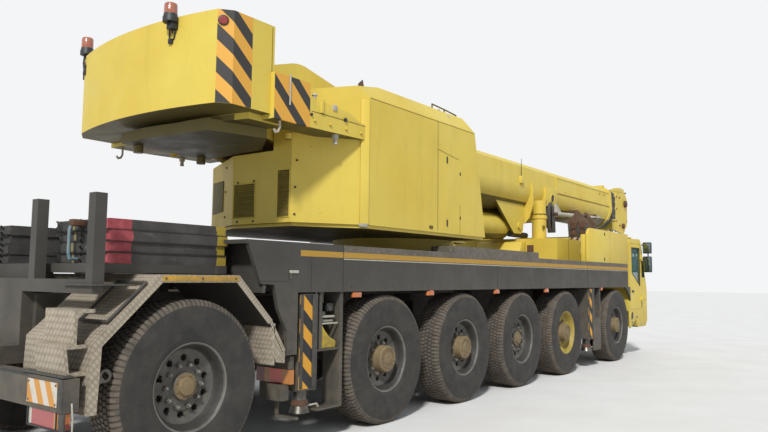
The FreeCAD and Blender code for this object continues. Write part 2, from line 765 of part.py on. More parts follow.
def hook_block():
    cheek = cross_prism([(hook_y - 90.0, 2280.0), (hook_y + 90.0, 2280.0), (hook_y + 190.0, 2400.0),
                         (hook_y + 200.0, 2520.0), (hook_y + 120.0, 2740.0), (hook_y - 120.0, 2740.0),
                         (hook_y - 200.0, 2520.0), (hook_y - 190.0, 2400.0)], hook_x - 190.0, hook_x - 165.0)
    pieces = [cheek, cheek.translated(Vector(355.0, 0, 0))]
    for index in range(4):
        pieces.append(round_bar("x", (hook_x - 140.0 + index * 78.0, hook_y, 2500.0), 185.0, 46.0))
    pieces.append(round_bar("x", (hook_x - 200.0, hook_y, 2500.0), 45.0, 400.0))
    pieces.append(round_bar("x", (hook_x - 190.0, hook_y, 2310.0), 40.0, 380.0))
    pieces.append(round_bar("z", (hook_x, hook_y, 2150.0), 55.0, 160.0))
    ring = round_bar("y", (hook_x, hook_y - 40.0, hook_z), 150.0, 80.0)
    throat = round_bar("y", (hook_x, hook_y - 50.0, hook_z), 62.0, 100.0)
    mouth = box(hook_x, hook_x + 170.0, hook_y - 50.0, hook_y + 50.0, hook_z, hook_z + 90.0)
    pieces.append(cut(ring, [throat, mouth]))
    pieces.append(box(hook_x - 150.0, hook_x + 150.0, hook_y - 120.0, hook_y + 120.0, deck_top, 1915.0))
    return fused(pieces)


# Outrigger beam and jack, drawn for the right side.

def outrigger_beam(x):
    beam = box(x - beam_width / 2.0, x + beam_width / 2.0, -box_end - 20.0, beam_tail,
               beam_bottom, beam_bottom + beam_height)
    house = box(x - jack_half, x + jack_half, -jack_plane - jack_house_half, -jack_plane + jack_house_half + 5.0,
                jack_house_bottom, jack_house_top)
    bore = round_bar("z", (x, -jack_plane, jack_house_bottom - 10.0), jack_rod_radius + running_gap,
                     jack_house_top - 15.0 - jack_house_bottom + 10.0)
    return cut(fused([beam, house]), [bore])


def outrigger_jack(x):
    rod = round_bar("z", (x, -jack_plane, jack_foot_bottom + 30.0), jack_rod_radius,
                    jack_house_top - 20.0 - jack_foot_bottom - 30.0)
    foot = Part.makeCone(jack_foot_radius, 75.0, 70.0, Vector(x, -jack_plane, jack_foot_bottom))
    return fused([rod, foot])


# Superstructure plate, ring and the two cheeks that carry the boom pivot.

cheek_rear = 1960.0
house_corner = house_side - 448.0
house_inner = cheek_inside + cheek_thickness + 40.0
low_side = house_side - 62.0


def slew_platform():
    ring = round_bar("z", (slew_x, 0, ring_split + seat_gap), ring_radius, plate_bottom - ring_split - seat_gap)
    side = house_side - 20.0
    cab_side = crane_cab_outer - 20.0
    plate = plan_prism([(house_rear + 40.0, -house_corner + 20.0), (2350.0, -side), (house_front - 20.0, -side),
                        (house_front - 20.0, -700.0), (5700.0, -600.0), (5700.0, 600.0), (6480.0, 600.0),
                        (6480.0, cab_side), (4400.0, cab_side), (4350.0, low_side - 10.0),
                        (2610.0, low_side - 10.0), (2070.0, low_side - 410.0), (house_rear + 40.0, 20.0)],
                       plate_bottom, plate_top)
    cheek_profile = [(cheek_rear, plate_bottom), (5600.0, plate_bottom), (5600.0, 2330.0, 80.0),
                     (4700.0, 2560.0, 200.0), (3420.0, 3500.0, 250.0), (2950.0, 3760.0, 260.0),
                     (2000.0, 3960.0, 500.0), (1180.0, 3700.0, 200.0), (1180.0, 3110.0, 100.0),
                     (cheek_rear, low_house_top + 20.0)]
    cheek = side_prism(cheek_profile, -cheek_inside - cheek_thickness, -cheek_inside)
    pieces = [ring, plate] + both_sides(cheek)
    pieces.append(box(cheek_rear, 2300.0, -cheek_inside, cheek_inside, plate_top - 10.0, 2700.0))
    foot_lug = side_prism([(luff_foot_x - 200.0, plate_bottom), (luff_foot_x + 200.0, plate_bottom),
                           (luff_foot_x + 120.0, luff_foot_z + 130.0, 100.0),
                           (luff_foot_x - 120.0, luff_foot_z + 130.0, 100.0)], 160.0, 220.0)
    pieces.extend(both_sides(foot_lug))
    pieces.append(round_bar("y", (luff_foot_x, -235.0, luff_foot_z), luff_pin_radius, 470.0))
    for side in (-1.0, 1.0):
        start = 385.0 if side > 0 else -cheek_inside - cheek_thickness - 20.0
        pieces.append(round_bar("y", (pivot_x, start, pivot_z), pivot_radius,
                                cheek_inside + cheek_thickness + 20.0 - 385.0))
    shaft_hole = round_bar("y", (winch_x, -700.0, winch_z), winch_shaft + running_gap, 1400.0)
    return [cut(fused(pieces), [shaft_hole])]


# Machinery house: a tall block on the right and a low one across the rear.

house_bottom = plate_top
house_roof = 3740.0
house_shoulder = 3527.0


def grille(x, y0, y1, z0, z1):
    # Louvres across the rear face: a recess with sloping slats.
    recess = box(x - 10.0, x + 60.0, y0, y1, z0, z1)
    slats = []
    pitch = 60.0
    count = int((z1 - z0 - 10.0) / pitch)
    for index in range(count):
        z = z0 + 10.0 + index * pitch
        slats.append(side_prism([(x + 5.0, z), (x + 14.0, z), (x + 75.0, z + 45.0), (x + 66.0, z + 45.0)], y0, y1))
    return recess, slats


def tall_house():
    side_shape = side_prism([(house_rear, house_bottom), (house_front, house_bottom),
                             (house_front - 287.0, house_shoulder), (house_front - 331.0, house_roof),
                             (2700.0, house_roof), (house_rear, house_shoulder - 20.0)],
                            -house_side, -house_inner)
    plan_shape = plan_prism([(house_rear, -house_corner), (2339.0, -house_side), (house_front, -house_side),
                             (house_front, -house_inner), (house_rear, -house_inner)], house_bottom, house_roof)
    cross_shape = cross_prism([(-house_side, house_bottom), (-house_inner, house_bottom),
                               (-house_inner, house_roof), (-house_side + 170.0, house_roof),
                               (-house_side, house_shoulder)], house_rear, house_front)
    return side_shape.common(plan_shape).common(cross_shape)


def machinery_house():
    behind = cheek_rear - 5.0
    low = plan_prism([(house_rear, -house_inner - 5.0), (house_rear, 0.0), (2050.0, low_side - 400.0),
                      (2600.0, low_side), (4300.0, low_side), (4300.0, house_inner), (behind, house_inner),
                      (behind, -house_inner - 5.0)], house_bottom, low_house_top)
    shape = fused([tall_house(), low])
    recesses = []
    slats = []
    for y0, y1, z0, z1 in ((-370.0, -30.0, 2194.0, 2555.0),
                           (-house_corner + 24.0, -house_corner + 198.0, 2174.0, 2665.0)):
        recess, rows = grille(house_rear, y0, y1, z0, z1)
        recesses.append(recess)
        slats.extend(rows)
    return [fused([cut(shape, recesses)] + slats)]


# Counterweight: slab with a curved rear face, a frame under it, arms to the house and beacons.

counter_bottom = 3065.0
counter_top = 3910.0
slab_side = house_side - 67.0
slab_front = 957.0
right_corner = (346.0, -slab_side + 92.0)
left_corner = (395.0, slab_side - 235.0)
arc_middle = (222.0, -150.0)
arm_outer = slab_side + 50.0
arm_inner = arm_outer - 300.0

# Beacons: X, Y, bottom and top of the dome, bracket's depth and height
beacons = [
    (210.0, -708.0, 3880.0, 4010.0, 100.0, 90.0),
    (415.0, left_corner[1] + 5.0, 3965.0, 4110.0, 60.0, 300.0),
]
beacon_radius = 58.0


def plan_arc(start, middle_point, end, z):
    return Part.Arc(Vector(start[0], start[1], z), Vector(middle_point[0], middle_point[1], z),
                    Vector(end[0], end[1], z)).toShape()


def closed_prism(arc, points, z, height):
    # An arc joined into a ring by straight edges through the points.
    edges = [arc]
    for start, end in zip(points[:-1], points[1:]):
        edges.append(Part.LineSegment(Vector(start[0], start[1], z), Vector(end[0], end[1], z)).toShape())
    return Part.Face(Part.Wire(Part.__sortEdges__(edges))).extrude(Vector(0, 0, height))


def counter_slab():
    arc = plan_arc(right_corner, arc_middle, left_corner, counter_bottom)
    points = [left_corner, (540.0, slab_side), (slab_front, slab_side), (slab_front, -slab_side),
              (459.0, -slab_side), right_corner]
    return closed_prism(arc, points, counter_bottom, counter_top - counter_bottom)


def counter_frame():
    # A plate with a curved rear edge and a thicker block below it, both under the slab.
    frame_right = slab_side - 115.0
    frame_left = slab_side - 535.0
    rear_right = (760.0, -frame_right)
    rear_left = (800.0, frame_left)
    depth = 60.0
    arc = plan_arc(rear_right, (660.0, -200.0), rear_left, counter_bottom - depth)
    plate = closed_prism(arc, [rear_left, (1180.0, frame_left), (1180.0, -frame_right), rear_right],
                         counter_bottom - depth, depth + 10.0)
    block = plan_prism([(560.0, -850.0), (470.0, 0.0), (490.0, 450.0), (1640.0, 500.0), (1560.0, -500.0),
                        (1160.0, -1000.0)], low_house_top + 15.0, counter_bottom - depth + 10.0)
    pieces = [plate, block]
    for x, y in ((660.0, 400.0), (1490.0, 430.0)):
        pieces.append(round_bar("z", (x, y, low_house_top - 62.0), 50.0, 100.0))
    return pieces


def counterweight():
    pieces = [counter_slab()] + counter_frame()
    cheek_outside = cheek_inside + cheek_thickness
    for side in (-1.0, 1.0):
        ends = sorted((side * arm_inner, side * arm_outer))
        arm = side_prism([(920.0, 3022.0), (1350.0, 3020.0), (2350.0, 3040.0), (2350.0, 3187.0),
                          (1650.0, 3303.0), (1424.0, 3330.0), (1401.0, 3461.0), (920.0, 3461.0)],
                         ends[0], ends[1])
        pieces.append(cut(arm, [tall_house()]))
        ends = sorted((side * cheek_outside, side * (arm_inner + 20.0)))
        pieces.append(box(1230.0, 1400.0, ends[0], ends[1], 3130.0, 3400.0))
    for x, y, bottom, top, depth, height in beacons:
        pieces.append(box(x - 15.0, x + depth, y - 45.0, y + 30.0, bottom - height, bottom - 20.0))
        pieces.append(round_bar("z", (x, y, bottom - 25.0), beacon_radius + 6.0, 40.0))
        pieces.append(round_bar("z", (x, y, bottom), beacon_radius, top - bottom))
    return [fused(pieces)]


def winch_drum():
    y = cheek_inside + cheek_thickness
    profile = [(0.0, -y), (winch_shaft, -y), (winch_shaft, -430.0), (330.0, -430.0), (330.0, -400.0),
               (250.0, -400.0), (250.0, 400.0), (330.0, 400.0), (330.0, 430.0), (winch_shaft, 430.0),
               (winch_shaft, y), (0.0, y)]
    return turned_about_y(profile, winch_x, 0.0, winch_z)


# Crane operator's cab on the left.

crane_floor = plate_top
crane_cab_profile = [(5050.0, crane_floor), (6450.0, crane_floor, 40.0), (6740.0, 2480.0, 100.0),
                     (6540.0, 3540.0, 80.0), (5080.0, 3560.0, 60.0)]
crane_hinge_x = 5330.0 + door_gap / 2.0
crane_door_profile = [(5330.0, 2230.0, 40.0), (6210.0, 2230.0, 40.0), (6210.0, 3440.0, 60.0), (5330.0, 3440.0, 60.0)]


def crane_cab():
    wall = 45.0
    shell = side_prism(crane_cab_profile, crane_cab_inner, crane_cab_outer)
    inside = side_prism([(5050.0 + wall, crane_floor + 60.0), (6430.0, crane_floor + 60.0, 20.0),
                         (6690.0, 2490.0, 70.0), (6495.0, 3495.0, 50.0), (5080.0 + wall, 3515.0, 30.0)],
                        crane_cab_inner + wall, crane_cab_outer - wall)
    tools = [inside]
    tools.append(side_prism(crane_door_profile, crane_cab_outer - wall - 1.0, crane_cab_outer + 10.0))
    tools.append(side_prism([(5400.0, 2700.0, 40.0), (6480.0, 2640.0, 40.0), (6380.0, 3400.0, 40.0),
                             (5400.0, 3400.0, 40.0)], crane_cab_inner - 10.0, crane_cab_inner + wall + 1.0))
    tools.append(side_prism([(6780.0, 2560.0), (6560.0, 2560.0), (6420.0, 3440.0), (6700.0, 3440.0)],
                            crane_cab_inner + 80.0, crane_cab_outer - 80.0))
    tools.append(box(5000.0, 5140.0, crane_cab_inner + 120.0, crane_cab_outer - 120.0, 2800.0, 3400.0))
    lugs = hinge_lugs(crane_hinge_x, crane_cab_outer, 1.0, -1.0, crane_hinge_places)
    shell = fused([cut(shell, tools)] + lugs)
    seat_y = (crane_cab_inner + crane_cab_outer) / 2.0 - 10.0
    return [shell, seat(5420.0, seat_y, crane_floor + 60.0)]


def crane_cab_glass():
    gap = seat_gap
    thickness = 8.0
    slope = (6740.0 - 6540.0) / (3540.0 - 2480.0)
    low_x = 6740.0 - (2560.0 - 2480.0) * slope - 22.0
    high_x = 6740.0 - (3440.0 - 2480.0) * slope - 22.0
    front = side_prism([(low_x - thickness, 2560.0 + gap), (low_x, 2560.0 + gap),
                        (high_x, 3440.0 - gap), (high_x - thickness, 3440.0 - gap)],
                       crane_cab_inner + 80.0 + gap, crane_cab_outer - 80.0 - gap)
    side = side_prism([(5400.0 + gap, 2700.0 + gap, 40.0), (6480.0 - gap, 2640.0 + gap, 40.0),
                       (6380.0 - gap, 3400.0 - gap, 40.0), (5400.0 + gap, 3400.0 - gap, 40.0)],
                      crane_cab_inner + 18.0, crane_cab_inner + 18.0 + thickness)
    rear = box(5075.0, 5083.0, crane_cab_inner + 120.0 + gap, crane_cab_outer - 120.0 - gap,
               2800.0 + gap, 3400.0 - gap)
    return [front, side, rear]


def crane_cab_door():
    margin = door_gap
    leaf = side_prism([(5330.0 + margin, 2230.0 + margin, 40.0), (6210.0 - margin, 2230.0 + margin, 40.0),
                       (6210.0 - margin, 3440.0 - margin, 60.0), (5330.0 + margin, 3440.0 - margin, 60.0)],
                      crane_cab_outer - 40.0, crane_cab_outer)
    window = side_prism([(5410.0, 2700.0, 40.0), (6130.0, 2640.0, 40.0), (6130.0, 3360.0, 50.0),
                         (5410.0, 3360.0, 50.0)], crane_cab_outer - 60.0, crane_cab_outer + 10.0)
    knuckles = hinge_knuckles(crane_hinge_x, crane_cab_outer, 1.0, 1.0, crane_hinge_places)
    return fused([cut(leaf, [window])] + knuckles)


# Boom sections: a flat sided tube with a round belly. Inset is the distance in from the outermost section.

def boom_wire(inset, x):
    half = boom_half - inset
    shoulder = half - 20.0
    top = boom_top - inset
    belly = Part.Arc(Vector(x, -half, boom_mid_z), Vector(x, 0, boom_mid_z - half), Vector(x, half, boom_mid_z))
    points = [(half, boom_mid_z), (shoulder, top - 90.0), (shoulder - 110.0, top), (-shoulder + 110.0, top),
              (-shoulder, top - 90.0), (-half, boom_mid_z)]
    edges = [belly.toShape()]
    for start, end in zip(points[:-1], points[1:]):
        edges.append(Part.LineSegment(Vector(x, start[0], start[1]), Vector(x, end[0], end[1])).toShape())
    return Part.Wire(Part.__sortEdges__(edges))


def boom_tube(outer_inset, inner_inset, x0, x1):
    along = Vector(x1 - x0, 0, 0)
    outer = Part.Face(boom_wire(outer_inset, x0)).extrude(along)
    inner = Part.Face(boom_wire(inner_inset, x0)).extrude(along)
    return cut(outer, [inner])


# Saddle plates: X of the rear face and the rows of Y and Z down the left half of the outline
saddle_outlines = [
    (8380.0, [(485.0, 3330.0), (485.0, 2930.0), (400.0, 2680.0), (330.0, 2590.0)]),
    (8960.0, [(500.0, 3330.0), (500.0, 3080.0), (440.0, 2900.0), (300.0, 2795.0)]),
]
ledge_z = 3270.0
ledge_rear = 9570.0
end_collar_inset = -18.0


def boom_base():
    tube = boom_tube(0.0, boom_wall, boom_rear, boom_front)
    lip = boom_tube(boom_wall - 5.0, section_step - seat_gap, boom_front - 200.0, boom_front)
    collar = boom_tube(-30.0, 5.0, boom_front - 120.0, boom_front)
    upper_plate = cross_prism([(boom_half - 10.0, ledge_z), (boom_half + 12.0, ledge_z),
                               (boom_half - 8.0, boom_top - 90.0), (boom_half - 30.0, boom_top - 90.0)],
                              ledge_rear, boom_front - 110.0)
    foot = side_prism([(pivot_x - 150.0, pivot_z - 190.0, 150.0), (boom_rear + 500.0, 2960.0),
                       (boom_rear + 500.0, boom_top - 150.0), (boom_rear, boom_top - 150.0),
                       (pivot_x - 150.0, pivot_z + 190.0, 150.0)], boom_half - 55.0, boom_half + 15.0)
    cheek = side_prism([(6950.0, boom_mid_z + 60.0), (6950.0, boom_mid_z - 100.0),
                        (luff_eye_x - 210.0, luff_eye_z - 150.0, 100.0),
                        (luff_eye_x + 150.0, luff_eye_z - 140.0, 120.0),
                        (8420.0, boom_mid_z - 200.0), (8420.0, boom_mid_z + 60.0)], 265.0, 315.0)
    pin = round_bar("y", (luff_eye_x, 255.0, luff_eye_z), luff_pin_radius, 85.0)
    step = box(boom_front - 110.0, boom_front, -300.0, 300.0, boom_top + 20.0, boom_top + 100.0)
    pieces = [tube, lip, collar, step]
    for shape in (foot, cheek, pin, upper_plate):
        pieces.extend(both_sides(shape))
    shape = fused(pieces)
    inner_faces = Part.Face(boom_wire(boom_wall, boom_rear)).extrude(Vector(boom_front - 210.0 - boom_rear, 0, 0))
    pivot_hole = round_bar("y", (pivot_x, -700.0, pivot_z), pivot_radius + running_gap, 1400.0)
    return [cut(shape, [inner_faces, pivot_hole])] + boom_fittings()


def boom_fittings():
    # Two saddle plates under the boom and the cups that stand over the posts of the boom rest.
    around = Part.Face(boom_wire(-seat_gap, boom_rear)).extrude(Vector(boom_front - 200.0 - boom_rear, 0, 0))
    fittings = []
    for x, half in saddle_outlines:
        right = [(-y, z) for y, z in half]
        fittings.append(cut(cross_prism(half + list(reversed(right)), x, x + 40.0), [around]))
    for y in (-450.0, 450.0):
        cup = round_bar("z", (8730.0, y, rest_pad_top + 10.0), 130.0, 250.0)
        fittings.append(cut(cup, [around]))
    return fittings


def telescope(index):
    # Each section rides on a ring at its rear and carries a collar at its front.
    inset = section_step * index
    front = boom_front + collar_gap + index * (collar_length + collar_gap)
    rear = boom_rear + 120.0 * index
    tube = boom_tube(inset, inset + boom_wall, rear, front)
    shoe = boom_tube(inset - (section_step - boom_wall) + seat_gap, inset + boom_wall - 5.0, rear, rear + 160.0)
    pieces = [tube, shoe]
    if index < sections:
        pieces.append(boom_tube(inset + boom_wall - 5.0, inset + section_step - seat_gap, front - 200.0, front))
        pieces.append(boom_tube(end_collar_inset, inset + 5.0, front - collar_length, front))
    else:
        pieces.extend(boom_head(front, inset))
    return [fused(pieces)]


def boom_head(front, inset):
    start = front - collar_length
    half = boom_half - inset
    nose = boom_tube(inset - 30.0, inset + 10.0, start, start + 160.0)
    cheek = side_prism([(start + 100.0, 2780.0, 40.0), (front_end - 350.0, 2700.0, 60.0),
                        (front_end - 60.0, 2960.0, 120.0), (front_end - 40.0, 3600.0, 120.0),
                        (front_end - 330.0, 3850.0, 80.0), (start + 100.0, 3760.0, 40.0)], half - 20.0, half + 20.0)
    back = box(start + 100.0, start + 160.0, -half, half, 2790.0, 3740.0)
    roof = box(start + 100.0, front_end - 420.0, -half, half, 3700.0, 3740.0)
    axle_bar = round_bar("y", (front_end - sheave_radius, -half - 40.0, sheave_z), 45.0, 2.0 * half + 80.0)
    guide_bar = round_bar("y", (front_end - 420.0, -half - 30.0, 2900.0), 35.0, 2.0 * half + 60.0)
    pieces = [nose, back, roof, axle_bar, guide_bar] + both_sides(cheek)
    for y in (-190.0, -70.0, 50.0, 170.0):
        pieces.append(round_bar("y", (front_end - 420.0, y - 22.0, 2900.0), 140.0, 44.0))
    return pieces


def head_sheaves():
    bore = 45.0 + running_gap
    profile = []
    half_span = 0.5 * 5 * 90.0
    left = -half_span
    right = half_span
    profile.append((bore, left))
    for index in range(5):
        low = left + index * 90.0
        profile.extend([(sheave_radius, low + 8.0), (sheave_radius - 42.0, low + 45.0), (sheave_radius, low + 82.0)])
    profile.append((bore, right))
    return turned_about_y(profile, front_end - sheave_radius, 0.0, sheave_z)


# Luffing cylinder, built along X from its foot pin and tilted to its eye.

luff_length = math.hypot(luff_eye_x - luff_foot_x, luff_eye_z - luff_foot_z)
luff_tilt = math.degrees(math.atan2(luff_eye_z - luff_foot_z, luff_eye_x - luff_foot_x))
barrel_start = 330.0
barrel_end = luff_length - 190.0


def tilted(shape):
    shape.rotate(Vector(0, 0, 0), Vector(0, 1, 0), -luff_tilt)
    shape.translate(Vector(luff_foot_x, 0, luff_foot_z))
    return shape


def luff_barrel():
    body = round_bar("x", (barrel_start, 0, 0), barrel_radius, barrel_end - barrel_start)
    neck = Part.makeCone(130.0, barrel_radius, 130.0, Vector(barrel_start - 130.0, 0, 0), Vector(1, 0, 0))
    eye = round_bar("y", (0, -130.0, 0), 140.0, 260.0)
    shank = box(0.0, barrel_start, -110.0, 110.0, -110.0, 110.0)
    bore = round_bar("x", (barrel_start + 40.0, 0, 0), barrel_bore, barrel_end - barrel_start - 140.0)
    gland = round_bar("x", (barrel_end - 110.0, 0, 0), rod_radius + running_gap, 200.0)
    pin_hole = round_bar("y", (0, -300.0, 0), luff_pin_radius + running_gap, 600.0)
    return tilted(cut(fused([body, neck, eye, shank]), [bore, gland, pin_hole]))


def luff_rod():
    piston = round_bar("x", (barrel_start + 45.0, 0, 0), barrel_bore - running_gap, 120.0)
    rod = round_bar("x", (barrel_start + 45.0, 0, 0), rod_radius, luff_length - 60.0 - barrel_start - 45.0)
    eye = round_bar("y", (luff_length, -120.0, 0), 145.0, 240.0)
    pin_hole = round_bar("y", (luff_length, -300.0, 0), luff_pin_radius + 1.0, 600.0)
    return tilted(cut(fused([piston, rod, eye]), [pin_hole]))


os.makedirs("parts", exist_ok=True)

for number, x, steers, driven in axles:
    left_wheel = wheel(x, driven)
    save("wheel_l%d" % number, left_wheel)
    save("wheel_r%d" % number, [mirrored(shape) for shape in left_wheel])
    if steers:
        left_knuckle = knuckle(x)
        save("knuckle_l%d" % number, [left_knuckle])
        save("knuckle_r%d" % number, [mirrored(left_knuckle)])

save("axle_beams", [axle(x, steers, driven) for number, x, steers, driven in axles])
save("chassis", [fused([chassis(), engine_block()])])
plates = []
for end, right_x, left_x in outriggers:
    plates.extend(outrigger_plates(end, right_x, left_x))
save("side_decks", both_sides(side_deck()) + plates)
save("rear_fenders", both_sides(rear_fender()))
save("rear_rack", [rear_rack()])
save("support_mats", support_mats())
save("boom_rest", boom_rest())
save("engine_hood", engine_hood())
save("driver_cab", driver_cab())
save("cab_glass", cab_glass())
save("cab_interior", cab_interior())
save("cab_door_r", [cab_door()])
save("cab_door_l", [mirrored(cab_door())])
save("lamps", lamps())
save("mirrors", mirrors())
save("hook_block", [hook_block()])

for end, right_x, left_x in outriggers:
    save("beam_%s_r" % end, [outrigger_beam(right_x)])
    save("beam_%s_l" % end, [mirrored(outrigger_beam(left_x))])
    save("jack_%s_r" % end, [outrigger_jack(right_x)])
    save("jack_%s_l" % end, [mirrored(outrigger_jack(left_x))])

save("slew_platform", slew_platform())
save("machinery_house", machinery_house())
save("counterweight", counterweight())
save("winch_drum", [winch_drum()])
save("crane_cab", crane_cab())
save("crane_cab_glass", crane_cab_glass())
save("crane_cab_door", [crane_cab_door()])
save("boom_base", boom_base())
for index in range(1, sections + 1):
    save("telescope_%d" % index, telescope(index))
save("head_sheaves", [head_sheaves()])
save("luff_barrel", [luff_barrel()])
save("luff_rod", [luff_rod()])
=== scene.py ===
import math

import bmesh
import bpy
from mathutils import Matrix, Vector


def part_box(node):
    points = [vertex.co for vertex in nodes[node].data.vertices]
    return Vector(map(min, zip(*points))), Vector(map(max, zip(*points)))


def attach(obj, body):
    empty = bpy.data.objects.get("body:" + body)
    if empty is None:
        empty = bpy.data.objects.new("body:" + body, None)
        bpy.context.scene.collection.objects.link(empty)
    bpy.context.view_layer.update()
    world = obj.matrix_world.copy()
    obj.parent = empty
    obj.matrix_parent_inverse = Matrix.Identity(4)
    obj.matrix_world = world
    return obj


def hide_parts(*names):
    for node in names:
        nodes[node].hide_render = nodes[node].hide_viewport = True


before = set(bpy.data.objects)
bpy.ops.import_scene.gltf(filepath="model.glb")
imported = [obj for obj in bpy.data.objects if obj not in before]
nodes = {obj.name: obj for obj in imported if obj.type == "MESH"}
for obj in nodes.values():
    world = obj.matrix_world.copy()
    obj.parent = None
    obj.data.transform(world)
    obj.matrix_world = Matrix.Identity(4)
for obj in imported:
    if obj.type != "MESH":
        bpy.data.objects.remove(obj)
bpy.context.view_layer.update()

bpy.context.scene.view_settings.view_transform = "Standard"


def middleOf(node):
    low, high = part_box(node)
    return (low + high) / 2


rearAxle = middleOf("wheel_r6")


def at(x, y, z):
    # x runs forward from the rearmost axle, y to the left, z up from the ground, in metres
    return Vector((rearAxle.x + x, y, z))


def alongX(x):
    # only the place along the crane, for patterns
    return rearAxle.x + x


def atSide(y, outline):
    # an outline of x and z in an upright plane along the crane
    return [(x, y, z) for x, z in outline]


# Colours and shader nodes


def hexColor(code):
    # sRGB hex to the linear numbers that shader sockets take
    parts = [int(code[i:i + 2], 16) / 255 for i in (1, 3, 5)]
    return tuple(p / 12.92 if p <= 0.04045 else ((p + 0.055) / 1.055) ** 2.4 for p in parts) + (1.0,)


def addNode(mat, kind, inputs=None, **settings):
    # an input is a value, or a pair of a node and the name or number of its output
    node = mat.node_tree.nodes.new(kind)
    for name, value in settings.items():
        setattr(node, name, value)
    for socket, value in (inputs or {}).items():
        if isinstance(value, tuple) and isinstance(value[0], bpy.types.Node):
            mat.node_tree.links.new(value[0].outputs[value[1]], node.inputs[socket])
        else:
            node.inputs[socket].default_value = value
    return node


def newMaterial(name):
    mat = bpy.data.materials.new(name)
    mat.use_nodes = True
    mat.node_tree.nodes.clear()
    place = addNode(mat, "ShaderNodeTexCoord")
    return mat, (place, "Object")


def perMetre(sizeMm):
    # noise scale for a pattern whose features are this large
    return 1000.0 / sizeMm


def blotches(mat, place, sizeMm, low, high, detail=4.0, stretch=(1.0, 1.0, 1.0)):
    # soft patches from noise: 0 below the low level, 1 above the high one
    spread = addNode(mat, "ShaderNodeMapping", {"Vector": place, "Scale": stretch})
    noise = addNode(mat, "ShaderNodeTexNoise",
                    {"Vector": (spread, 0), "Scale": perMetre(sizeMm), "Detail": detail, "Roughness": 0.6})
    level = addNode(mat, "ShaderNodeMapRange",
                    {"Value": (noise, 0), "From Min": low, "From Max": high, "To Min": 0.0, "To Max": 1.0})
    return (level, 0)


def fadeAlong(mat, place, axis, start, end):
    # 0 at the start and 1 at the end, along one axis of the object
    split = addNode(mat, "ShaderNodeSeparateXYZ", {0: place})
    level = addNode(mat, "ShaderNodeMapRange",
                    {"Value": (split, "XYZ".index(axis)), "From Min": start, "From Max": end})
    return (level, 0)


def foldedSides(mat, place):
    # left and right read the same: y is the distance out from the middle
    split = addNode(mat, "ShaderNodeSeparateXYZ", {0: place})
    outward = addNode(mat, "ShaderNodeMath", {0: (split, 1)}, operation="ABSOLUTE")
    folded = addNode(mat, "ShaderNodeCombineXYZ", {0: (split, 0), 1: (outward, 0), 2: (split, 2)})
    return (folded, 0)


def insideBox(mat, place, low, high):
    # 1 inside a box of the object's space, 0 outside
    split = addNode(mat, "ShaderNodeSeparateXYZ", {0: place})
    mask = None
    for limits, operation in ((low, "GREATER_THAN"), (high, "LESS_THAN")):
        for index in range(3):
            if limits[index] is None:
                continue
            inside = addNode(mat, "ShaderNodeMath", {0: (split, index), 1: limits[index]}, operation=operation)
            mask = inside if mask is None else addNode(
                mat, "ShaderNodeMath", {0: (mask, 0), 1: (inside, 0)}, operation="MULTIPLY")
    return (mask, 0)


def facingDown(mat, level=-0.6):
    # 1 on faces that look down
    surface = addNode(mat, "ShaderNodeNewGeometry")
    split = addNode(mat, "ShaderNodeSeparateXYZ", {0: (surface, "Normal")})
    under = addNode(mat, "ShaderNodeMath", {0: (split, 2), 1: level}, operation="LESS_THAN")
    return (under, 0)


def laidOver(mat, base, top, *masks):
    # the top colour over the base, as far as all the masks let it
    share = masks[0]
    for mask in masks[1:]:
        share = (addNode(mat, "ShaderNodeMath", {0: share, 1: mask}, operation="MULTIPLY"), 0)
    mix = addNode(mat, "ShaderNodeMix", {0: share, 6: base, 7: top}, data_type="RGBA")
    return (mix, 2)


def diagonalBands(mat, place, along, pitchMm, start, share):
    # 1 in the dark bands and 0 between them, counted across a direction of the object's space
    step = addNode(mat, "ShaderNodeVectorMath", {0: place, 1: along}, operation="DOT_PRODUCT")
    count = addNode(mat, "ShaderNodeMath", {0: (step, 1), 1: perMetre(pitchMm), 2: -start * perMetre(pitchMm)},
                    operation="MULTIPLY_ADD")
    part = addNode(mat, "ShaderNodeMath", {0: (count, 0)}, operation="FRACT")
    dark = addNode(mat, "ShaderNodeMath", {0: (part, 0), 1: share}, operation="LESS_THAN")
    return (dark, 0)


def closeMaterial(mat, color, rough, bump=None, bumpMm=0.0, more=None):
    # the surface of a finish; its bump is as deep as the millimetres say
    surface = {"Base Color": color, "Roughness": rough, **(more or {})}
    if bump is not None:
        raised = addNode(mat, "ShaderNodeBump", {"Height": bump, "Distance": bumpMm / 1000.0, "Strength": 1.0})
        surface["Normal"] = (raised, 0)
    shader = addNode(mat, "ShaderNodeBsdfPrincipled", surface)
    addNode(mat, "ShaderNodeOutputMaterial", {0: (shader, 0)})
    return mat


# Finishes

def enamelCoat(mat, place, look):
    # brushed-on machine enamel: chalked in patches by the sun, rain-streaked, rusty where it is chipped; where the
    # look asks for it, faces that look down get painted shade
    color = laidOver(mat, hexColor(look["paint"]), hexColor(look["faded"]),
                     blotches(mat, place, look.get("fadeMm", 1400), 0.35, 0.7))
    streaks = blotches(mat, place, look.get("streakMm", 160), 0.55, 0.8, 3.0, (1.0, 1.0, 0.12))
    color = laidOver(mat, color, hexColor(look["dirt"]), streaks, look.get("streaks", 0.2))
    film = blotches(mat, place, 420, 0.42, 0.8, 6.0)
    color = laidOver(mat, color, hexColor(look["dirt"]), film, look.get("film", 0.25))
    if "dustTop" in look:
        low = fadeAlong(mat, place, "Z", look["dustTop"], look["dustTop"] - look.get("dustDepth", 0.5))
        patchy = blotches(mat, place, 130, 0.25, 0.75, 5.0)
        color = laidOver(mat, color, hexColor(look["dust"]), low, patchy, 0.75)
    # painted shade: faces that look down are darkened as if in shade
    if "under" in look:
        color = laidOver(mat, color, hexColor(look["under"]), facingDown(mat), 0.85)
    chips = blotches(mat, place, look.get("chipMm", 26), look.get("chipLevel", 0.75),
                     look.get("chipLevel", 0.75) + 0.02, 2.0)
    return laidOver(mat, color, hexColor(look["rust"]), chips)


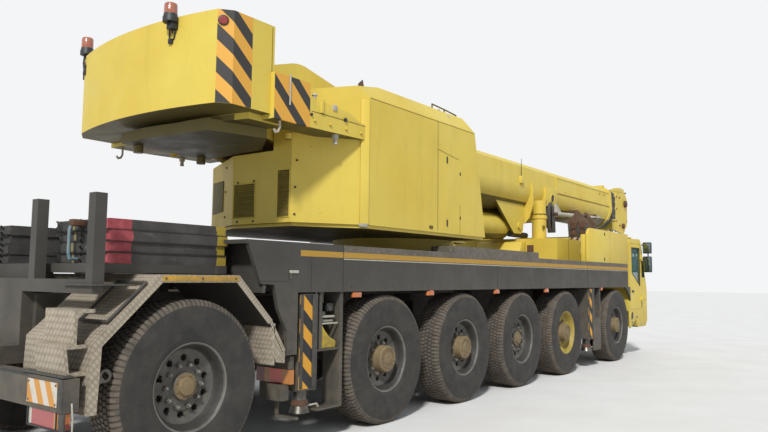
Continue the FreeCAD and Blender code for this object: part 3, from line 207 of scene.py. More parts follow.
def enamel(name, look, overlay=None):
    mat, place = newMaterial(name)
    color = enamelCoat(mat, place, look)
    if overlay:
        color = overlay(mat, place, color)
    rough = addNode(mat, "ShaderNodeMapRange",
                    {"Value": blotches(mat, place, 300, 0.3, 0.7), "To Min": look.get("gloss", 0.42),
                     "To Max": look.get("gloss", 0.42) + 0.2})
    grain = blotches(mat, place, 7, 0.3, 0.7, 2.0)
    return closeMaterial(mat, color, (rough, 0), grain, 0.25)


# under in these looks is painted shade for the faces that look down
craneYellow = {"paint": "#d0b342", "faded": "#d7c156", "dirt": "#8f7932", "rust": "#6d4a26", "under": "#262216",
               "streaks": 0.16, "film": 0.12, "gloss": 0.45}
carrierGrey = {"paint": "#3b3934", "faded": "#46433d", "dirt": "#2b2925", "rust": "#54402f", "dust": "#6b6151",
               "under": "#24221f", "dustTop": 1.7, "dustDepth": 0.9, "film": 0.3, "gloss": 0.55, "chipLevel": 0.73}
axleGrey = {"paint": "#2a2825", "faded": "#322f2b", "dirt": "#1b1a18", "rust": "#4a3628", "dust": "#4e463a",
            "dustTop": 1.3, "dustDepth": 1.0, "film": 0.5, "gloss": 0.6, "chipLevel": 0.7}
stripeLook = {"amber": "#d99f3b", "dark": "#212226", "under": "#3b361f"}
deckLook = {"plate": "#5f584d", "stud": "#786f61", "studMm": 38, "caked": "#4e463b", "strip": "#b48a2f",
            "line": "#a8a294"}
jackLook = {"amber": "#d6992b", "dark": "#1f1f23"}
counterBands = {"along": (0.87, 0.35, 1.0), "pitchMm": 296.5, "start": 3.764, "share": 0.49}
armBands = {"along": (0.97, 0.0, 1.0), "pitchMm": 327.0, "start": 4.203, "share": 0.42}
jackBands = {"along": (0.95, 0.0, 1.0), "pitchMm": 262.0, "start": 2.546, "share": 0.5}


def warningBands(mat, folded, bands):
    # the first band's place is counted from the rearmost axle
    start = bands["start"] + bands["along"][0] * rearAxle.x
    return diagonalBands(mat, folded, bands["along"], bands["pitchMm"], start, bands["share"])


def counterStripes(mat, place, color):
    # diagonal warning bands on the slab's rear corners and on the arms, and painted shade on the underplate below
    # them
    folded = foldedSides(mat, place)
    corner = insideBox(mat, folded, (None, 1.203, 3.066), (alongX(0.68), None, None))
    arm = insideBox(mat, folded, (alongX(0.92), 1.32, None), (alongX(1.405), None, 3.47))
    for zone, bands in ((corner, counterBands), (arm, armBands)):
        painted = laidOver(mat, hexColor(stripeLook["amber"]), hexColor(stripeLook["dark"]),
                           warningBands(mat, folded, bands))
        color = laidOver(mat, color, painted, zone, 0.985)
    # painted shade: the underplate beneath the slab is darkened as if in shadow
    underneath = insideBox(mat, folded, (None, None, None), (None, 1.02, 3.062))
    return laidOver(mat, color, hexColor(stripeLook["under"]), underneath, 0.85)


def deckZones(mat, place, color):
    # dusty checker plate on the lip and the walkway, yellow strip and the thin pale line below it
    folded = foldedSides(mat, place)
    studs = addNode(mat, "ShaderNodeTexVoronoi", {"Vector": place, "Scale": perMetre(deckLook["studMm"])},
                    feature="SMOOTH_F1")
    studTops = addNode(mat, "ShaderNodeMapRange", {"Value": (studs, 0), "From Min": 0.42, "From Max": 0.2})
    plate = laidOver(mat, hexColor(deckLook["plate"]), hexColor(deckLook["stud"]), (studTops, 0), 0.8)
    plate = laidOver(mat, plate, hexColor(deckLook["caked"]), blotches(mat, place, 300, 0.45, 0.75, 5.0), 0.7)
    for low, high in (((1.77, None, 1.8), (None, None, None)), ((0.4, None, 1.868), (None, 1.49, None))):
        zone = insideBox(mat, folded, (alongX(low[0]), low[1], low[2]), high)
        color = laidOver(mat, color, plate, zone, 0.9)
    strip = insideBox(mat, folded, (alongX(1.155), 1.45, 1.745), (None, None, 1.8))
    color = laidOver(mat, color, hexColor(deckLook["strip"]), strip, 0.9)
    line = insideBox(mat, folded, (alongX(1.77), 1.45, 1.727), (None, None, 1.737))
    return laidOver(mat, color, hexColor(deckLook["line"]), line, 0.9)


def outriggerStripes(mat, place, color):
    # amber and dark bands down the outer face of the jack housing
    folded = foldedSides(mat, place)
    zone = insideBox(mat, folded, (None, 1.484, None), (None, None, 1.385))
    painted = laidOver(mat, hexColor(jackLook["amber"]), hexColor(jackLook["dark"]),
                       warningBands(mat, folded, jackBands))
    return laidOver(mat, color, painted, zone, 0.95)


def checkerPlate(name, look):
    # raised-pattern aluminium tread plate, dull and caked with dust; its marks follow the arch over the wheel, with a
    # painted sheen on the raised marks and painted shade on faces that look down
    mat, place = newMaterial(name)
    color = laidOver(mat, hexColor(look["plate"]), hexColor(look["worn"]), blotches(mat, place, 260, 0.35, 0.7))
    color = laidOver(mat, color, hexColor(look["dirt"]), blotches(mat, place, 90, 0.45, 0.8, 6.0), 0.6)
    split = addNode(mat, "ShaderNodeSeparateXYZ", {0: place})
    offset = addNode(mat, "ShaderNodeMath", {0: (split, 0), 1: alongX(look["archMiddle"])}, operation="SUBTRACT")
    out = addNode(mat, "ShaderNodeMath", {0: (offset, 0)}, operation="ABSOLUTE")
    along = addNode(mat, "ShaderNodeMath", {0: (out, 0), 1: (split, 2)}, operation="SUBTRACT")
    slope = addNode(mat, "ShaderNodeMath", {0: (out, 0), 1: (split, 2)}, operation="ADD")
    across = addNode(mat, "ShaderNodeMath", {0: (slope, 0), 1: 0.7, 2: (split, 1)}, operation="MULTIPLY_ADD")
    flat = addNode(mat, "ShaderNodeCombineXYZ", {0: (along, 0), 1: (across, 0)})
    marks = addNode(mat, "ShaderNodeTexVoronoi", {"Vector": (flat, 0), "Scale": perMetre(look["patternMm"]),
                                                  "Randomness": 0.0}, voronoi_dimensions="2D")
    raised = addNode(mat, "ShaderNodeMapRange", {"Value": (marks, 0), "From Min": 0.48, "From Max": 0.25})
    # painted sheen: the raised marks are lightened as if catching the light
    color = laidOver(mat, color, hexColor(look["paintedSheen"]), (raised, 0), 0.55)
    # painted shade on faces that look down, under the arch
    color = laidOver(mat, color, hexColor(look["under"]), facingDown(mat, -0.3), 0.9)
    return closeMaterial(mat, color, 0.55, (raised, 0), 2.0, {"Metallic": 0.2})


def matBoards(name, look):
    # pressed recycled-plastic boards: rough sawn faces, ends dipped in red and yellow paint
    mat, place = newMaterial(name)
    folded = foldedSides(mat, place)
    ragged = addNode(mat, "ShaderNodeTexNoise", {"Vector": place, "Scale": perMetre(60), "Detail": 3.0})
    edge = addNode(mat, "ShaderNodeVectorMath", {0: (ragged, 1), 1: (0.06, 0.0, 0.0)}, operation="MULTIPLY")
    shifted = addNode(mat, "ShaderNodeVectorMath", {0: folded, 1: (edge, 0)}, operation="ADD")
    color = laidOver(mat, hexColor(look["board"]), hexColor(look["worn"]), blotches(mat, place, 180, 0.35, 0.7, 8.0))
    scuffs = blotches(mat, place, 60, 0.62, 0.72, 6.0, (0.4, 1.0, 1.0))
    color = laidOver(mat, color, hexColor(look["scuff"]), scuffs, 0.5)
    red = laidOver(mat, hexColor(look["red"]), hexColor(look["redWorn"]), blotches(mat, place, 70, 0.4, 0.7, 6.0))
    zone = insideBox(mat, (shifted, 0), (None, 1.0, None), (alongX(-0.35), None, None))
    color = laidOver(mat, color, red, zone, 0.95)
    front = insideBox(mat, (shifted, 0), (alongX(0.475), None, None), (None, None, None))
    color = laidOver(mat, color, hexColor(look["yellow"]), front, 0.9)
    line = insideBox(mat, folded, (None, 0.655, None), (alongX(-0.57), 0.685, None))
    color = laidOver(mat, color, hexColor(look["line"]), line, 0.8)
    grain = blotches(mat, place, 22, 0.3, 0.75, 6.0, (0.2, 1.0, 1.0))
    return closeMaterial(mat, color, 0.75, grain, 1.2)


def plainFinish(name, base, worn, dust=None, wornMm=120, dustMm=60, dusty=0.6, rough=0.5, grainMm=6, grainDeep=0.3,
                metallic=0.0, coat=0.0):
    # one base colour with worn patches, dust on most, and a fine grain
    mat, place = newMaterial(name)
    color = laidOver(mat, hexColor(base), hexColor(worn), blotches(mat, place, wornMm, 0.4, 0.72, 5.0))
    if dust:
        color = laidOver(mat, color, hexColor(dust), blotches(mat, place, dustMm, 0.35, 0.8, 6.0), dusty)
    grain = blotches(mat, place, grainMm, 0.3, 0.7, 3.0)
    return closeMaterial(mat, color, rough, grain, grainDeep, {"Metallic": metallic, "Coat Weight": coat})


def bandedFinish(name, look):
    # enamel in two colours, in diagonal bands, scuffed
    mat, place = newMaterial(name)
    bands = warningBands(mat, place, look)
    color = laidOver(mat, hexColor(look["first"]), hexColor(look["second"]), bands)
    color = laidOver(mat, color, hexColor(look["dirt"]), blotches(mat, place, 90, 0.5, 0.8, 6.0), 0.5)
    grain = blotches(mat, place, 8, 0.3, 0.7, 3.0)
    return closeMaterial(mat, color, look.get("rough", 0.5), grain, 0.4)


def wovenSeat(name, look):
    # coarse woven upholstery, darker between its threads
    mat, place = newMaterial(name)
    # a wave is 0.314 m long at scale 1, so each one here holds a thread and a gap of the same width
    waves = {"Vector": place, "Scale": perMetre(look["threadMm"]) / 6.28}
    threads = addNode(mat, "ShaderNodeTexWave", waves, bands_direction="Y")
    crossed = addNode(mat, "ShaderNodeTexWave", waves, bands_direction="X")
    weave = addNode(mat, "ShaderNodeMath", {0: (threads, 1), 1: (crossed, 1)}, operation="MULTIPLY")
    color = laidOver(mat, hexColor(look["gap"]), hexColor(look["thread"]), (weave, 0))
    color = laidOver(mat, color, hexColor(look["worn"]), blotches(mat, place, 160, 0.45, 0.75, 5.0), 0.6)
    return closeMaterial(mat, color, 0.9, (weave, 0), 0.8)


def safetyGlass(name, tint):
    # laminated glass, green at its edge, with a faint film of dust
    mat, place = newMaterial(name)
    film = blotches(mat, place, 220, 0.45, 0.9, 5.0)
    rough = addNode(mat, "ShaderNodeMapRange", {"Value": film, "To Min": 0.03, "To Max": 0.25})
    return closeMaterial(mat, hexColor(tint), (rough, 0),
                         more={"IOR": 1.5, "Transmission Weight": 0.7, "Coat Weight": 0.3})


lampBase = "#c9782c"
lampColors = [
    # place along x, from and to the side, colour of the lens
    ((None, 1.16), (1.0, 1.5), "#b5722c"),
    ((None, -0.5), (1.06, 1.36), "#9c4340"),
    ((None, -0.5), (1.0, 1.06), "#b9b2a4"),
    # painted shade: the inner part of this red lamp is painted darker than its outer part below, as the same lens in
    # shade
    ((1.0, 1.16), (1.0, 1.13), "#7a2a22"),
    ((1.0, 1.16), (1.2, 1.36), "#e0563f"),
    ((1.16, 10.9), (1.0, 1.6), "#c4602f"),
    ((11.0, None), (1.0, 1.6), "#c9cdc9"),
]


def lampZones(name):
    # moulded lenses: red and amber at the rear, amber along the sides, clear at the front; one red lamp is painted
    # darker on its inner part as painted shade
    mat, place = newMaterial(name)
    folded = foldedSides(mat, place)
    color = hexColor(lampBase)
    for (rear, front), (inner, outer), code in lampColors:
        low = (None if rear is None else alongX(rear), inner, None)
        high = (None if front is None else alongX(front), outer, None)
        color = laidOver(mat, color, hexColor(code), insideBox(mat, folded, low, high), 1.0)
    ribs = addNode(mat, "ShaderNodeTexWave", {"Vector": place, "Scale": 12.0}, bands_direction="Y")
    return closeMaterial(mat, color, 0.25, (ribs, 1), 0.8, {"Coat Weight": 0.5})


print("making finishes")
finish = {
    "yellow": enamel("craneEnamel", craneYellow),
    "counter": enamel("counterweightEnamel", craneYellow, counterStripes),
    "cab": enamel("cabEnamel", dict(craneYellow, dust="#8f8154", dustTop=1.2, dustDepth=0.7)),
    "carrier": enamel("frameEnamel", carrierGrey),
    "deck": enamel("deckEnamel", carrierGrey, deckZones),
    "outrigger": enamel("outriggerEnamel", carrierGrey, outriggerStripes),
    "axle": enamel("axleEnamel", axleGrey),
    "plate": checkerPlate("treadPlate",
                          {"plate": "#938776", "worn": "#a39784", "dirt": "#665b4c", "paintedSheen": "#bdb19c",
                           "under": "#1f1e1c", "patternMm": 46, "archMiddle": 0.04}),
    "boards": matBoards("pressedBoards",
                        {"board": "#343331", "worn": "#4a4744", "scuff": "#6d685f", "red": "#963b41",
                         "redWorn": "#b05458", "yellow": "#a68f2f", "line": "#8d8550"}),
    "rubber": plainFinish("tyreRubber", "#2b2a28", "#373531", "#4d4840", dustMm=240, dusty=0.5, rough=0.85,
                          grainDeep=0.6),
    "tread": plainFinish("dustyTreadRubber", "#514a42", "#665d52", "#786b5c", dustMm=60, dusty=0.7, rough=0.95,
                         grainDeep=1.0),
    "groove": plainFinish("packedDirtRubber", "#3a3631", "#4a443c", "#5d5448", dustMm=40, dusty=0.6, rough=0.95,
                          grainDeep=1.0),
    "well": plainFinish("oilyRimWell", "#262522", "#33312d", "#453f36", dusty=0.5, rough=0.7),
    "rim": plainFinish("rimEnamel", "#45433f", "#57544e", "#6d6455", dusty=0.5, rough=0.5),
    "rimEdge": plainFinish("rubbedFlange", "#6b675f", "#86827a", "#57524a", dusty=0.4, rough=0.4, metallic=0.3),
    "rimYellow": plainFinish("yellowRimEnamel", "#a8923a", "#8b7836", "#6d6244", dusty=0.5, rough=0.55),
    "hub": plainFinish("dustyHubCasting", "#77664a", "#8b7553", "#62543d", dustMm=40, dusty=0.5, rough=0.75,
                       grainDeep=0.8),
    "nut": plainFinish("wornZincNuts", "#8b8780", "#6a655d", rough=0.45, metallic=0.6, wornMm=20),
    "rust": plainFinish("rustedSteel", "#54392b", "#6f4a33", "#3a2a22", dustMm=30, rough=0.85, grainDeep=1.0),
    "brown": plainFinish("brownPrimer", "#4f3829", "#5f4634", "#6e5a48", dustMm=50, rough=0.7, grainDeep=0.6),
    "hookBands": bandedFinish("bandedHookCheek",
                              {"first": "#b0a48e", "second": "#55392a", "dirt": "#6d5a48",
                               "along": (0.35, 1.0, 0.55), "pitchMm": 120.0, "start": 0.02, "share": 0.5}),
    "sideBands": bandedFinish("reflectiveSheet",
                              {"first": "#c5bcae", "second": "#c4862d", "dirt": "#8b7a5c",
                               "along": (0.0, -1.0, 0.5), "pitchMm": 150.0, "start": 0.02, "share": 0.5,
                               "rough": 0.35}),
    "black": plainFinish("blackMoulding", "#1f2022", "#2b2c2f", rough=0.5),
    "seal": plainFinish("windowRubber", "#1d1d1d", "#2a2a29", rough=0.8),
    # a dark line colour for dirt and for painted shade in panel gaps and under ledges
    "seam": plainFinish("seamDirtAndShade", "#6d5f2b", "#5a4e26", rough=0.9),
    "pale": plainFinish("weatheredWhite", "#b9b5a8", "#a39e8e", "#8d8470", rough=0.5),
    "redLens": plainFinish("redReflector", "#7c221d", "#8e2d25", rough=0.2, coat=0.6),
    "amberLens": plainFinish("amberReflector", "#c06428", "#cf7a34", rough=0.2, coat=0.6),
    "beaconLens": plainFinish("beaconLens", "#8f4a34", "#a55c40", "#b98d74", dustMm=40, dusty=0.3, rough=0.15,
                              coat=0.7),
    "blueGrey": plainFinish("blueGreyTube", "#5d7c86", "#7f979d", "#6d6a5c", rough=0.4),
    "trim": plainFinish("cabTrim", "#2b2c30", "#36373b", rough=0.8),
    "cloth": wovenSeat("wovenSeatCloth",
                       {"thread": "#3f444d", "gap": "#22242a", "worn": "#555a61", "threadMm": 6.0}),
    "steel": plainFinish("greasySteel", "#6c6963", "#4a4741", "#4d4435", rough=0.35, metallic=0.8, dusty=0.4),
    "rope": plainFinish("wireRope", "#4b4740", "#6a655c", wornMm=12, rough=0.45, metallic=0.6, grainDeep=0.8),
    "chrome": plainFinish("hardChrome", "#c9c9c4", "#b2b1aa", rough=0.12, metallic=1.0, grainDeep=0.02),
    "mirror": plainFinish("silveredMirror", "#6f7f80", "#82908f", rough=0.08, metallic=1.0, grainDeep=0.01),
    "nylon": plainFinish("castNylon", "#6d4f38", "#5a3f2e", "#3a3128", rough=0.6),
    "louvre": plainFinish("louvreEnamel", "#8a7a37", "#7a6c33", "#6e6238", rough=0.6),
    "dustMesh": plainFinish("dustyMesh", "#7d7450", "#8c8360", "#6c6446", rough=0.85, grainMm=5, grainDeep=1.0),
    "frameDark": plainFinish("darkFrameEnamel", "#343330", "#42403b", "#5b5448", rough=0.6),
    "deckSeam": plainFinish("dirtInSkirtSeam", "#2b2a27", "#36342f", rough=0.9),
    "amberPaint": plainFinish("amberStripPaint", "#bb9030", "#a07e31", "#8b7440", rough=0.5),
    "chock": plainFinish("chockEnamel", "#c2a42c", "#a58d2f", "#6e6132", rough=0.5),
    "glass": safetyGlass("tintedSafetyGlass", "#5f908c"),
    "lamp": lampZones("lampLenses"),
}

nodeFinish = {
    "chassis": "carrier", "axle_beams": "axle", "side_decks": "deck", "rear_fenders": "plate",
    "rear_rack": "carrier", "support_mats": "boards", "boom_rest": "yellow", "engine_hood": "yellow",
    "driver_cab": "cab", "cab_glass": "glass", "cab_interior": "trim", "cab_door_r": "cab", "cab_door_l": "cab",
    "lamps": "lamp", "mirrors": "black", "hook_block": "brown", "slew_platform": "yellow",
    "machinery_house": "yellow", "counterweight": "counter", "winch_drum": "rust", "crane_cab": "yellow",
    "crane_cab_glass": "glass", "crane_cab_door": "yellow", "boom_base": "yellow", "telescope_1": "carrier",
    "telescope_2": "carrier", "telescope_3": "yellow", "head_sheaves": "nylon", "luff_barrel": "yellow",
    "luff_rod": "chrome",
}
for name, node in nodes.items():
    kind = nodeFinish.get(name)
    if kind is None:
        for start, wanted in (("wheel_", "rubber"), ("knuckle_", "axle"), ("beam_", "outrigger"), ("jack_", "steel")):
            if name.startswith(start):
                kind = wanted
    node.data.materials.clear()
    node.data.materials.append(finish[kind])


# Shapes. A mesh is built in the frame's metres, and a finished piece rides on a body.

def finishPiece(name, mesh, body, materials, smoothUnder=35.0):
    bmesh.ops.recalc_face_normals(mesh, faces=mesh.faces)
    data = bpy.data.meshes.new(name)
    mesh.to_mesh(data)
    mesh.free()
    for material in materials:
        data.materials.append(finish[material])
    data.shade_smooth()
    data.set_sharp_from_angle(angle=math.radians(smoothUnder))
    piece = bpy.data.objects.new(name, data)
    bpy.context.scene.collection.objects.link(piece)
    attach(piece, body)
    return piece


def paintNew(verts, material):
    # gives the faces of new corners their material, and returns them
    faces = list({face for vert in verts for face in vert.link_faces})
    for face in faces:
        face.material_index = material
    return faces


def bevelEdges(mesh, edges, size, segments=2):
    bmesh.ops.bevel(mesh, geom=edges, offset=size, offset_type="OFFSET", segments=segments, profile=0.5,
                    affect="EDGES", clamp_overlap=True, material=-1)


def addBlock(mesh, low, high, bevel=0.0, material=0):
    # a box between two corners, its edges rounded
    size = [abs(high[index] - low[index]) for index in range(3)]
    centre = [(high[index] + low[index]) / 2 for index in range(3)]
    place = Matrix.Translation(centre) @ Matrix.Diagonal((*size, 1.0))
    made = bmesh.ops.create_cube(mesh, size=1.0, matrix=place)
    faces = paintNew(made["verts"], material)
    if bevel:
        edges = list({edge for face in faces for edge in face.edges})
        bevelEdges(mesh, edges, bevel)


def addRing(mesh, centre, axis, rows, steps, closed=False, material=0):
    # rows of radius and distance along the axis, spun round it
    along = Vector(axis).normalized()
    side = along.orthogonal().normalized()
    verts = []
    for radius, distance in rows:
        verts.append(mesh.verts.new(Vector(centre) + along * distance + side * radius))
    edges = []
    for first, second in zip(verts[:-1], verts[1:]):
        edges.append(mesh.edges.new((first, second)))
    if closed:
        edges.append(mesh.edges.new((verts[-1], verts[0])))
    before = set(mesh.faces)
    bmesh.ops.spin(mesh, geom=verts + edges, cent=Vector(centre), axis=along, dvec=(0, 0, 0),
                   angle=math.radians(360.0), steps=steps, use_merge=True, use_duplicate=False)
    made = [face for face in mesh.faces if face not in before]
    bmesh.ops.remove_doubles(mesh, verts=list({vert for face in made for vert in face.verts}), dist=0.00005)
    # merging may have renewed some of the faces, so they are looked up again
    for face in mesh.faces:
        if face not in before:
            face.material_index = material


def addNut(mesh, centre, axis, across, height, stud=0.0, material=0):
    # a hexagon nut with a worn edge, and the end of its stud
    half = across / 2 / math.cos(math.radians(30.0))
    rows = [(0.0, 0.0), (half, 0.0), (half, height * 0.8), (half * 0.88, height), (0.0, height)]
    addRing(mesh, centre, axis, rows, 6, material=material)
    if stud:
        tip = Vector(centre) + Vector(axis).normalized() * height
        rows = [(0.0, 0.0), (across * 0.3, 0.0), (across * 0.3, stud * 0.8), (across * 0.22, stud), (0.0, stud)]
        addRing(mesh, tip, axis, rows, 10, material=material)


def addRod(mesh, start, end, radius, tip=None, segments=12, material=0):
    # a round bar between two points, tapered when its tip's radius is given
    along = end - start
    turned = along.to_track_quat("Z", "Y").to_matrix().to_4x4()
    made = bmesh.ops.create_cone(mesh, cap_ends=True, segments=segments, radius1=radius,
                                 radius2=radius if tip is None else tip, depth=along.length,
                                 matrix=Matrix.Translation((start + end) / 2) @ turned)
    paintNew(made["verts"], material)


def addPipe(mesh, points, radius, segments=8, material=0):
    # straight runs of tube joined by round elbows
    for start, end in zip(points[:-1], points[1:]):
        addRod(mesh, start, end, radius, segments=segments, material=material)
    for point in points[1:-1]:
        made = bmesh.ops.create_uvsphere(mesh, u_segments=segments, v_segments=6, radius=radius * 1.01,
                                         matrix=Matrix.Translation(point))
        paintNew(made["verts"], material)


def addPlate(mesh, corners, depth, bevel=0.0, material=0):
    # a flat plate: an outline pushed along a vector, its edges eased
    face = mesh.faces.new([mesh.verts.new(corner) for corner in corners])
    made = bmesh.ops.extrude_face_region(mesh, geom=[face])
    moved = [item for item in made["geom"] if isinstance(item, bmesh.types.BMVert)]
    bmesh.ops.translate(mesh, vec=depth, verts=moved)
    faces = {face} | {other for vert in moved for other in vert.link_faces}
    for item in faces:
        item.material_index = material
    if bevel:
        bevelEdges(mesh, list({edge for item in faces for edge in item.edges}), bevel)


def makeFitting(name, body, materials, parts, sides=(1,)):
    # one piece from its list of blocks, plates, rods, pipes, rings and nuts, repeated on each side
    mesh = bmesh.new()
    for side in sides:
        def put(point):
            return at(point[0], side * point[1], point[2])

        def aim(vector):
            return Vector((vector[0], side * vector[1], vector[2]))

        for low, high, bevel, material in parts.get("blocks", ()):
            addBlock(mesh, put(low), put(high), bevel, material)
        for corners, depth, bevel, material in parts.get("plates", ()):
            addPlate(mesh, [put(corner) for corner in corners], aim(depth), bevel, material)
        for start, end, radius, tip, material in parts.get("rods", ()):
            addRod(mesh, put(start), put(end), radius, tip, material=material)
        for points, radius, material in parts.get("pipes", ()):
            addPipe(mesh, [put(point) for point in points], radius, material=material)
        for centre, axis, rows, steps, material in parts.get("rings", ()):
            addRing(mesh, put(centre), aim(axis), rows, steps, material=material)
        for centre, axis, across, height, stud, material in parts.get("nuts", ()):
            addNut(mesh, put(centre), aim(axis), across, height, stud, material)
    return finishPiece(name, mesh, body, materials)


# Wheels. A row is radius and distance outwards from the wheel's middle plane, in metres.

wheelShape = {"radius": 0.685, "blockHeight": 0.007, "notch": 0.0035, "steps": 288, "stepsPerBlock": 3,
              "treadFrom": 0.64, "faceFrom": 0.66}
lanes = {"outer": (0.106, 0.30), "middle": (0.056, 0.096), "inner": (0.006, 0.046)}
driven = {"1", "2", "4", "5"}
yellowRims = {"2"}


def tyreRows():
    tread = wheelShape["radius"] - wheelShape["blockHeight"]
    half = [(0.3305, 0.1480), (0.352, 0.1700), (0.372, 0.1775), (0.388, 0.1790), (0.392, 0.1815), (0.399, 0.1815),
            (0.403, 0.1820), (0.440, 0.1872), (0.500, 0.1920), (0.545, 0.1912), (0.590, 0.1880), (0.630, 0.1825),
            (0.655, 0.1700), (tread - 0.005, 0.1480), (tread, 0.106), (tread, 0.096), (tread, 0.056),
            (tread, 0.046), (tread, 0.006)]
    return half + [(radius, -across) for radius, across in reversed(half)]


def makeTyre(name, centre, outward):
    mesh = bmesh.new()
    axis = Vector((0.0, outward, 0.0))
    steps = wheelShape["steps"]
    addRing(mesh, centre, axis, tyreRows(), steps, closed=True)
    raised = []
    for face in mesh.faces:
        away = face.calc_center_median() - centre
        across = away.dot(axis)
        radius = (away - axis * across).length
        if radius < wheelShape["treadFrom"]:
            continue
        face.material_index = 2
        step = int(math.degrees(math.atan2(away.z, away.x)) % 360.0 / (360.0 / steps))
        for shift, (near, far) in enumerate(lanes.values()):
            turn = step + shift + (1 if across > 0 else 0)
            if near < abs(across) < far and turn % wheelShape["stepsPerBlock"] != 0:
                raised.append(face)
    made = bmesh.ops.extrude_face_region(mesh, geom=raised)
    bmesh.ops.delete(mesh, geom=raised, context="FACES_KEEP_BOUNDARY")
    for item in made["geom"]:
        if isinstance(item, bmesh.types.BMFace):
            item.material_index = 1
        if isinstance(item, bmesh.types.BMVert):
            away = item.co - centre
            away = away - axis * away.dot(axis)
            height = wheelShape["blockHeight"] if away.length > wheelShape["faceFrom"] else wheelShape["notch"]
            item.co = item.co + away.normalized() * height
    tyre = finishPiece("tyre_" + name, mesh, "wheel_" + name, ["rubber", "tread", "groove"], 30.0)
    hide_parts("wheel_" + name)


def rimRows(isDriven):
    barrel = [(0.330, 0.149), (0.357, 0.152), (0.362, 0.158), (0.358, 0.166), (0.346, 0.168), (0.336, 0.162),
              (0.330, 0.150), (0.318, 0.136), (0.308, 0.110), (0.302, 0.080), (0.290, 0.066), (0.266, 0.056)]
    disc = [(0.250, 0.048), (0.238, 0.044), (0.205, 0.044), (0.195, 0.046), (0.188, 0.052)]
    if isDriven:
        hub = [(0.145, 0.054), (0.141, 0.062), (0.140, 0.172), (0.134, 0.182), (0.112, 0.186), (0.108, 0.180),
               (0.062, 0.181), (0.056, 0.188), (0.030, 0.189), (0.0, 0.189)]
    else:
        hub = [(0.140, 0.054), (0.118, 0.056), (0.111, 0.060), (0.108, 0.088), (0.104, 0.092), (0.077, 0.092),
               (0.073, 0.096), (0.072, 0.112), (0.066, 0.119), (0.040, 0.121), (0.0, 0.121)]
    return barrel + disc + hub


def roundWheel(degrees):
    # the direction at this angle in a wheel's plane
    return Vector((math.cos(math.radians(degrees)), 0.0, math.sin(math.radians(degrees))))


rimShape = {
    "steps": 100, "stepAngle": 3.6, "flange": 0.335, "well": (0.285, 0.33), "wellDepth": 0.148,
    # a hand hole every 36 degrees, wide in its middle steps and narrow in its end ones
    "holes": 10, "wideSteps": (4, 5), "wide": (0.195, 0.25), "narrowSteps": (3, 6), "narrow": (0.205, 0.238),
    "holeDepth": 0.06, "nutCircle": 0.1665, "nutSeat": 0.051,
}


def makeRim(name, centre, outward):
    mesh = bmesh.new()
    number = name[1:]
    isDriven = number in driven
    isYellow = number in yellowRims
    axis = Vector((0.0, outward, 0.0))
    addRing(mesh, centre, axis, rimRows(isDriven), rimShape["steps"])
    holes = []
    hubRadius = 0.142 if isDriven else 0.103
    holePitch = 360.0 / rimShape["holes"]
    for face in mesh.faces:
        away = face.calc_center_median() - centre
        across = away.dot(axis)
        away = away - axis * across
        step = int(math.degrees(math.atan2(away.z, away.x)) % holePitch / rimShape["stepAngle"])
        radius = away.length
        if radius < hubRadius:
            face.material_index = 1
        if radius > rimShape["flange"]:
            face.material_index = 4
        if rimShape["well"][0] < radius < rimShape["well"][1] and across < rimShape["wellDepth"]:
            face.material_index = 0 if isYellow else 2
        wide = step in rimShape["wideSteps"] and rimShape["wide"][0] < radius < rimShape["wide"][1]
        narrow = step in rimShape["narrowSteps"] and rimShape["narrow"][0] < radius < rimShape["narrow"][1]
        if wide or narrow:
            holes.append(face)
    made = bmesh.ops.extrude_face_region(mesh, geom=holes)
    bmesh.ops.delete(mesh, geom=holes, context="FACES_KEEP_BOUNDARY")
    for item in made["geom"]:
        if isinstance(item, bmesh.types.BMFace):
            item.material_index = 2
        if isinstance(item, bmesh.types.BMVert):
            item.co = item.co - axis * rimShape["holeDepth"]
    for index in range(rimShape["holes"]):
        place = centre + roundWheel(holePitch * index) * rimShape["nutCircle"] + axis * rimShape["nutSeat"]
        addNut(mesh, place, axis, 0.036, 0.026, 0.018, 3)
    count, ring, height = (12, 0.098, 0.184) if isDriven else (8, 0.091, 0.092)
    for index in range(count):
        place = centre + roundWheel(360.0 * (index + 0.5) / count) * ring + axis * (height - 0.001)
        addNut(mesh, place, axis, 0.018, 0.007, 0.0, 1)
    paint, flange = ("rimYellow", "rimYellow") if isYellow else ("rim", "rimEdge")
    rim = finishPiece("rim_" + name, mesh, "wheel_" + name,
                      [paint, "hub", "well", "nut", flange], 30.0)
    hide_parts("wheel_" + name)


print("making wheels")
for side, outward in (("r", -1.0), ("l", 1.0)):
    for number in range(1, 7):
        name = side + str(number)
        makeTyre(name, middleOf("wheel_" + name), outward)
        makeRim(name, middleOf("wheel_" + name), outward)


# Counterweight: beacons on their brackets, reflectors, and the fittings on its arms

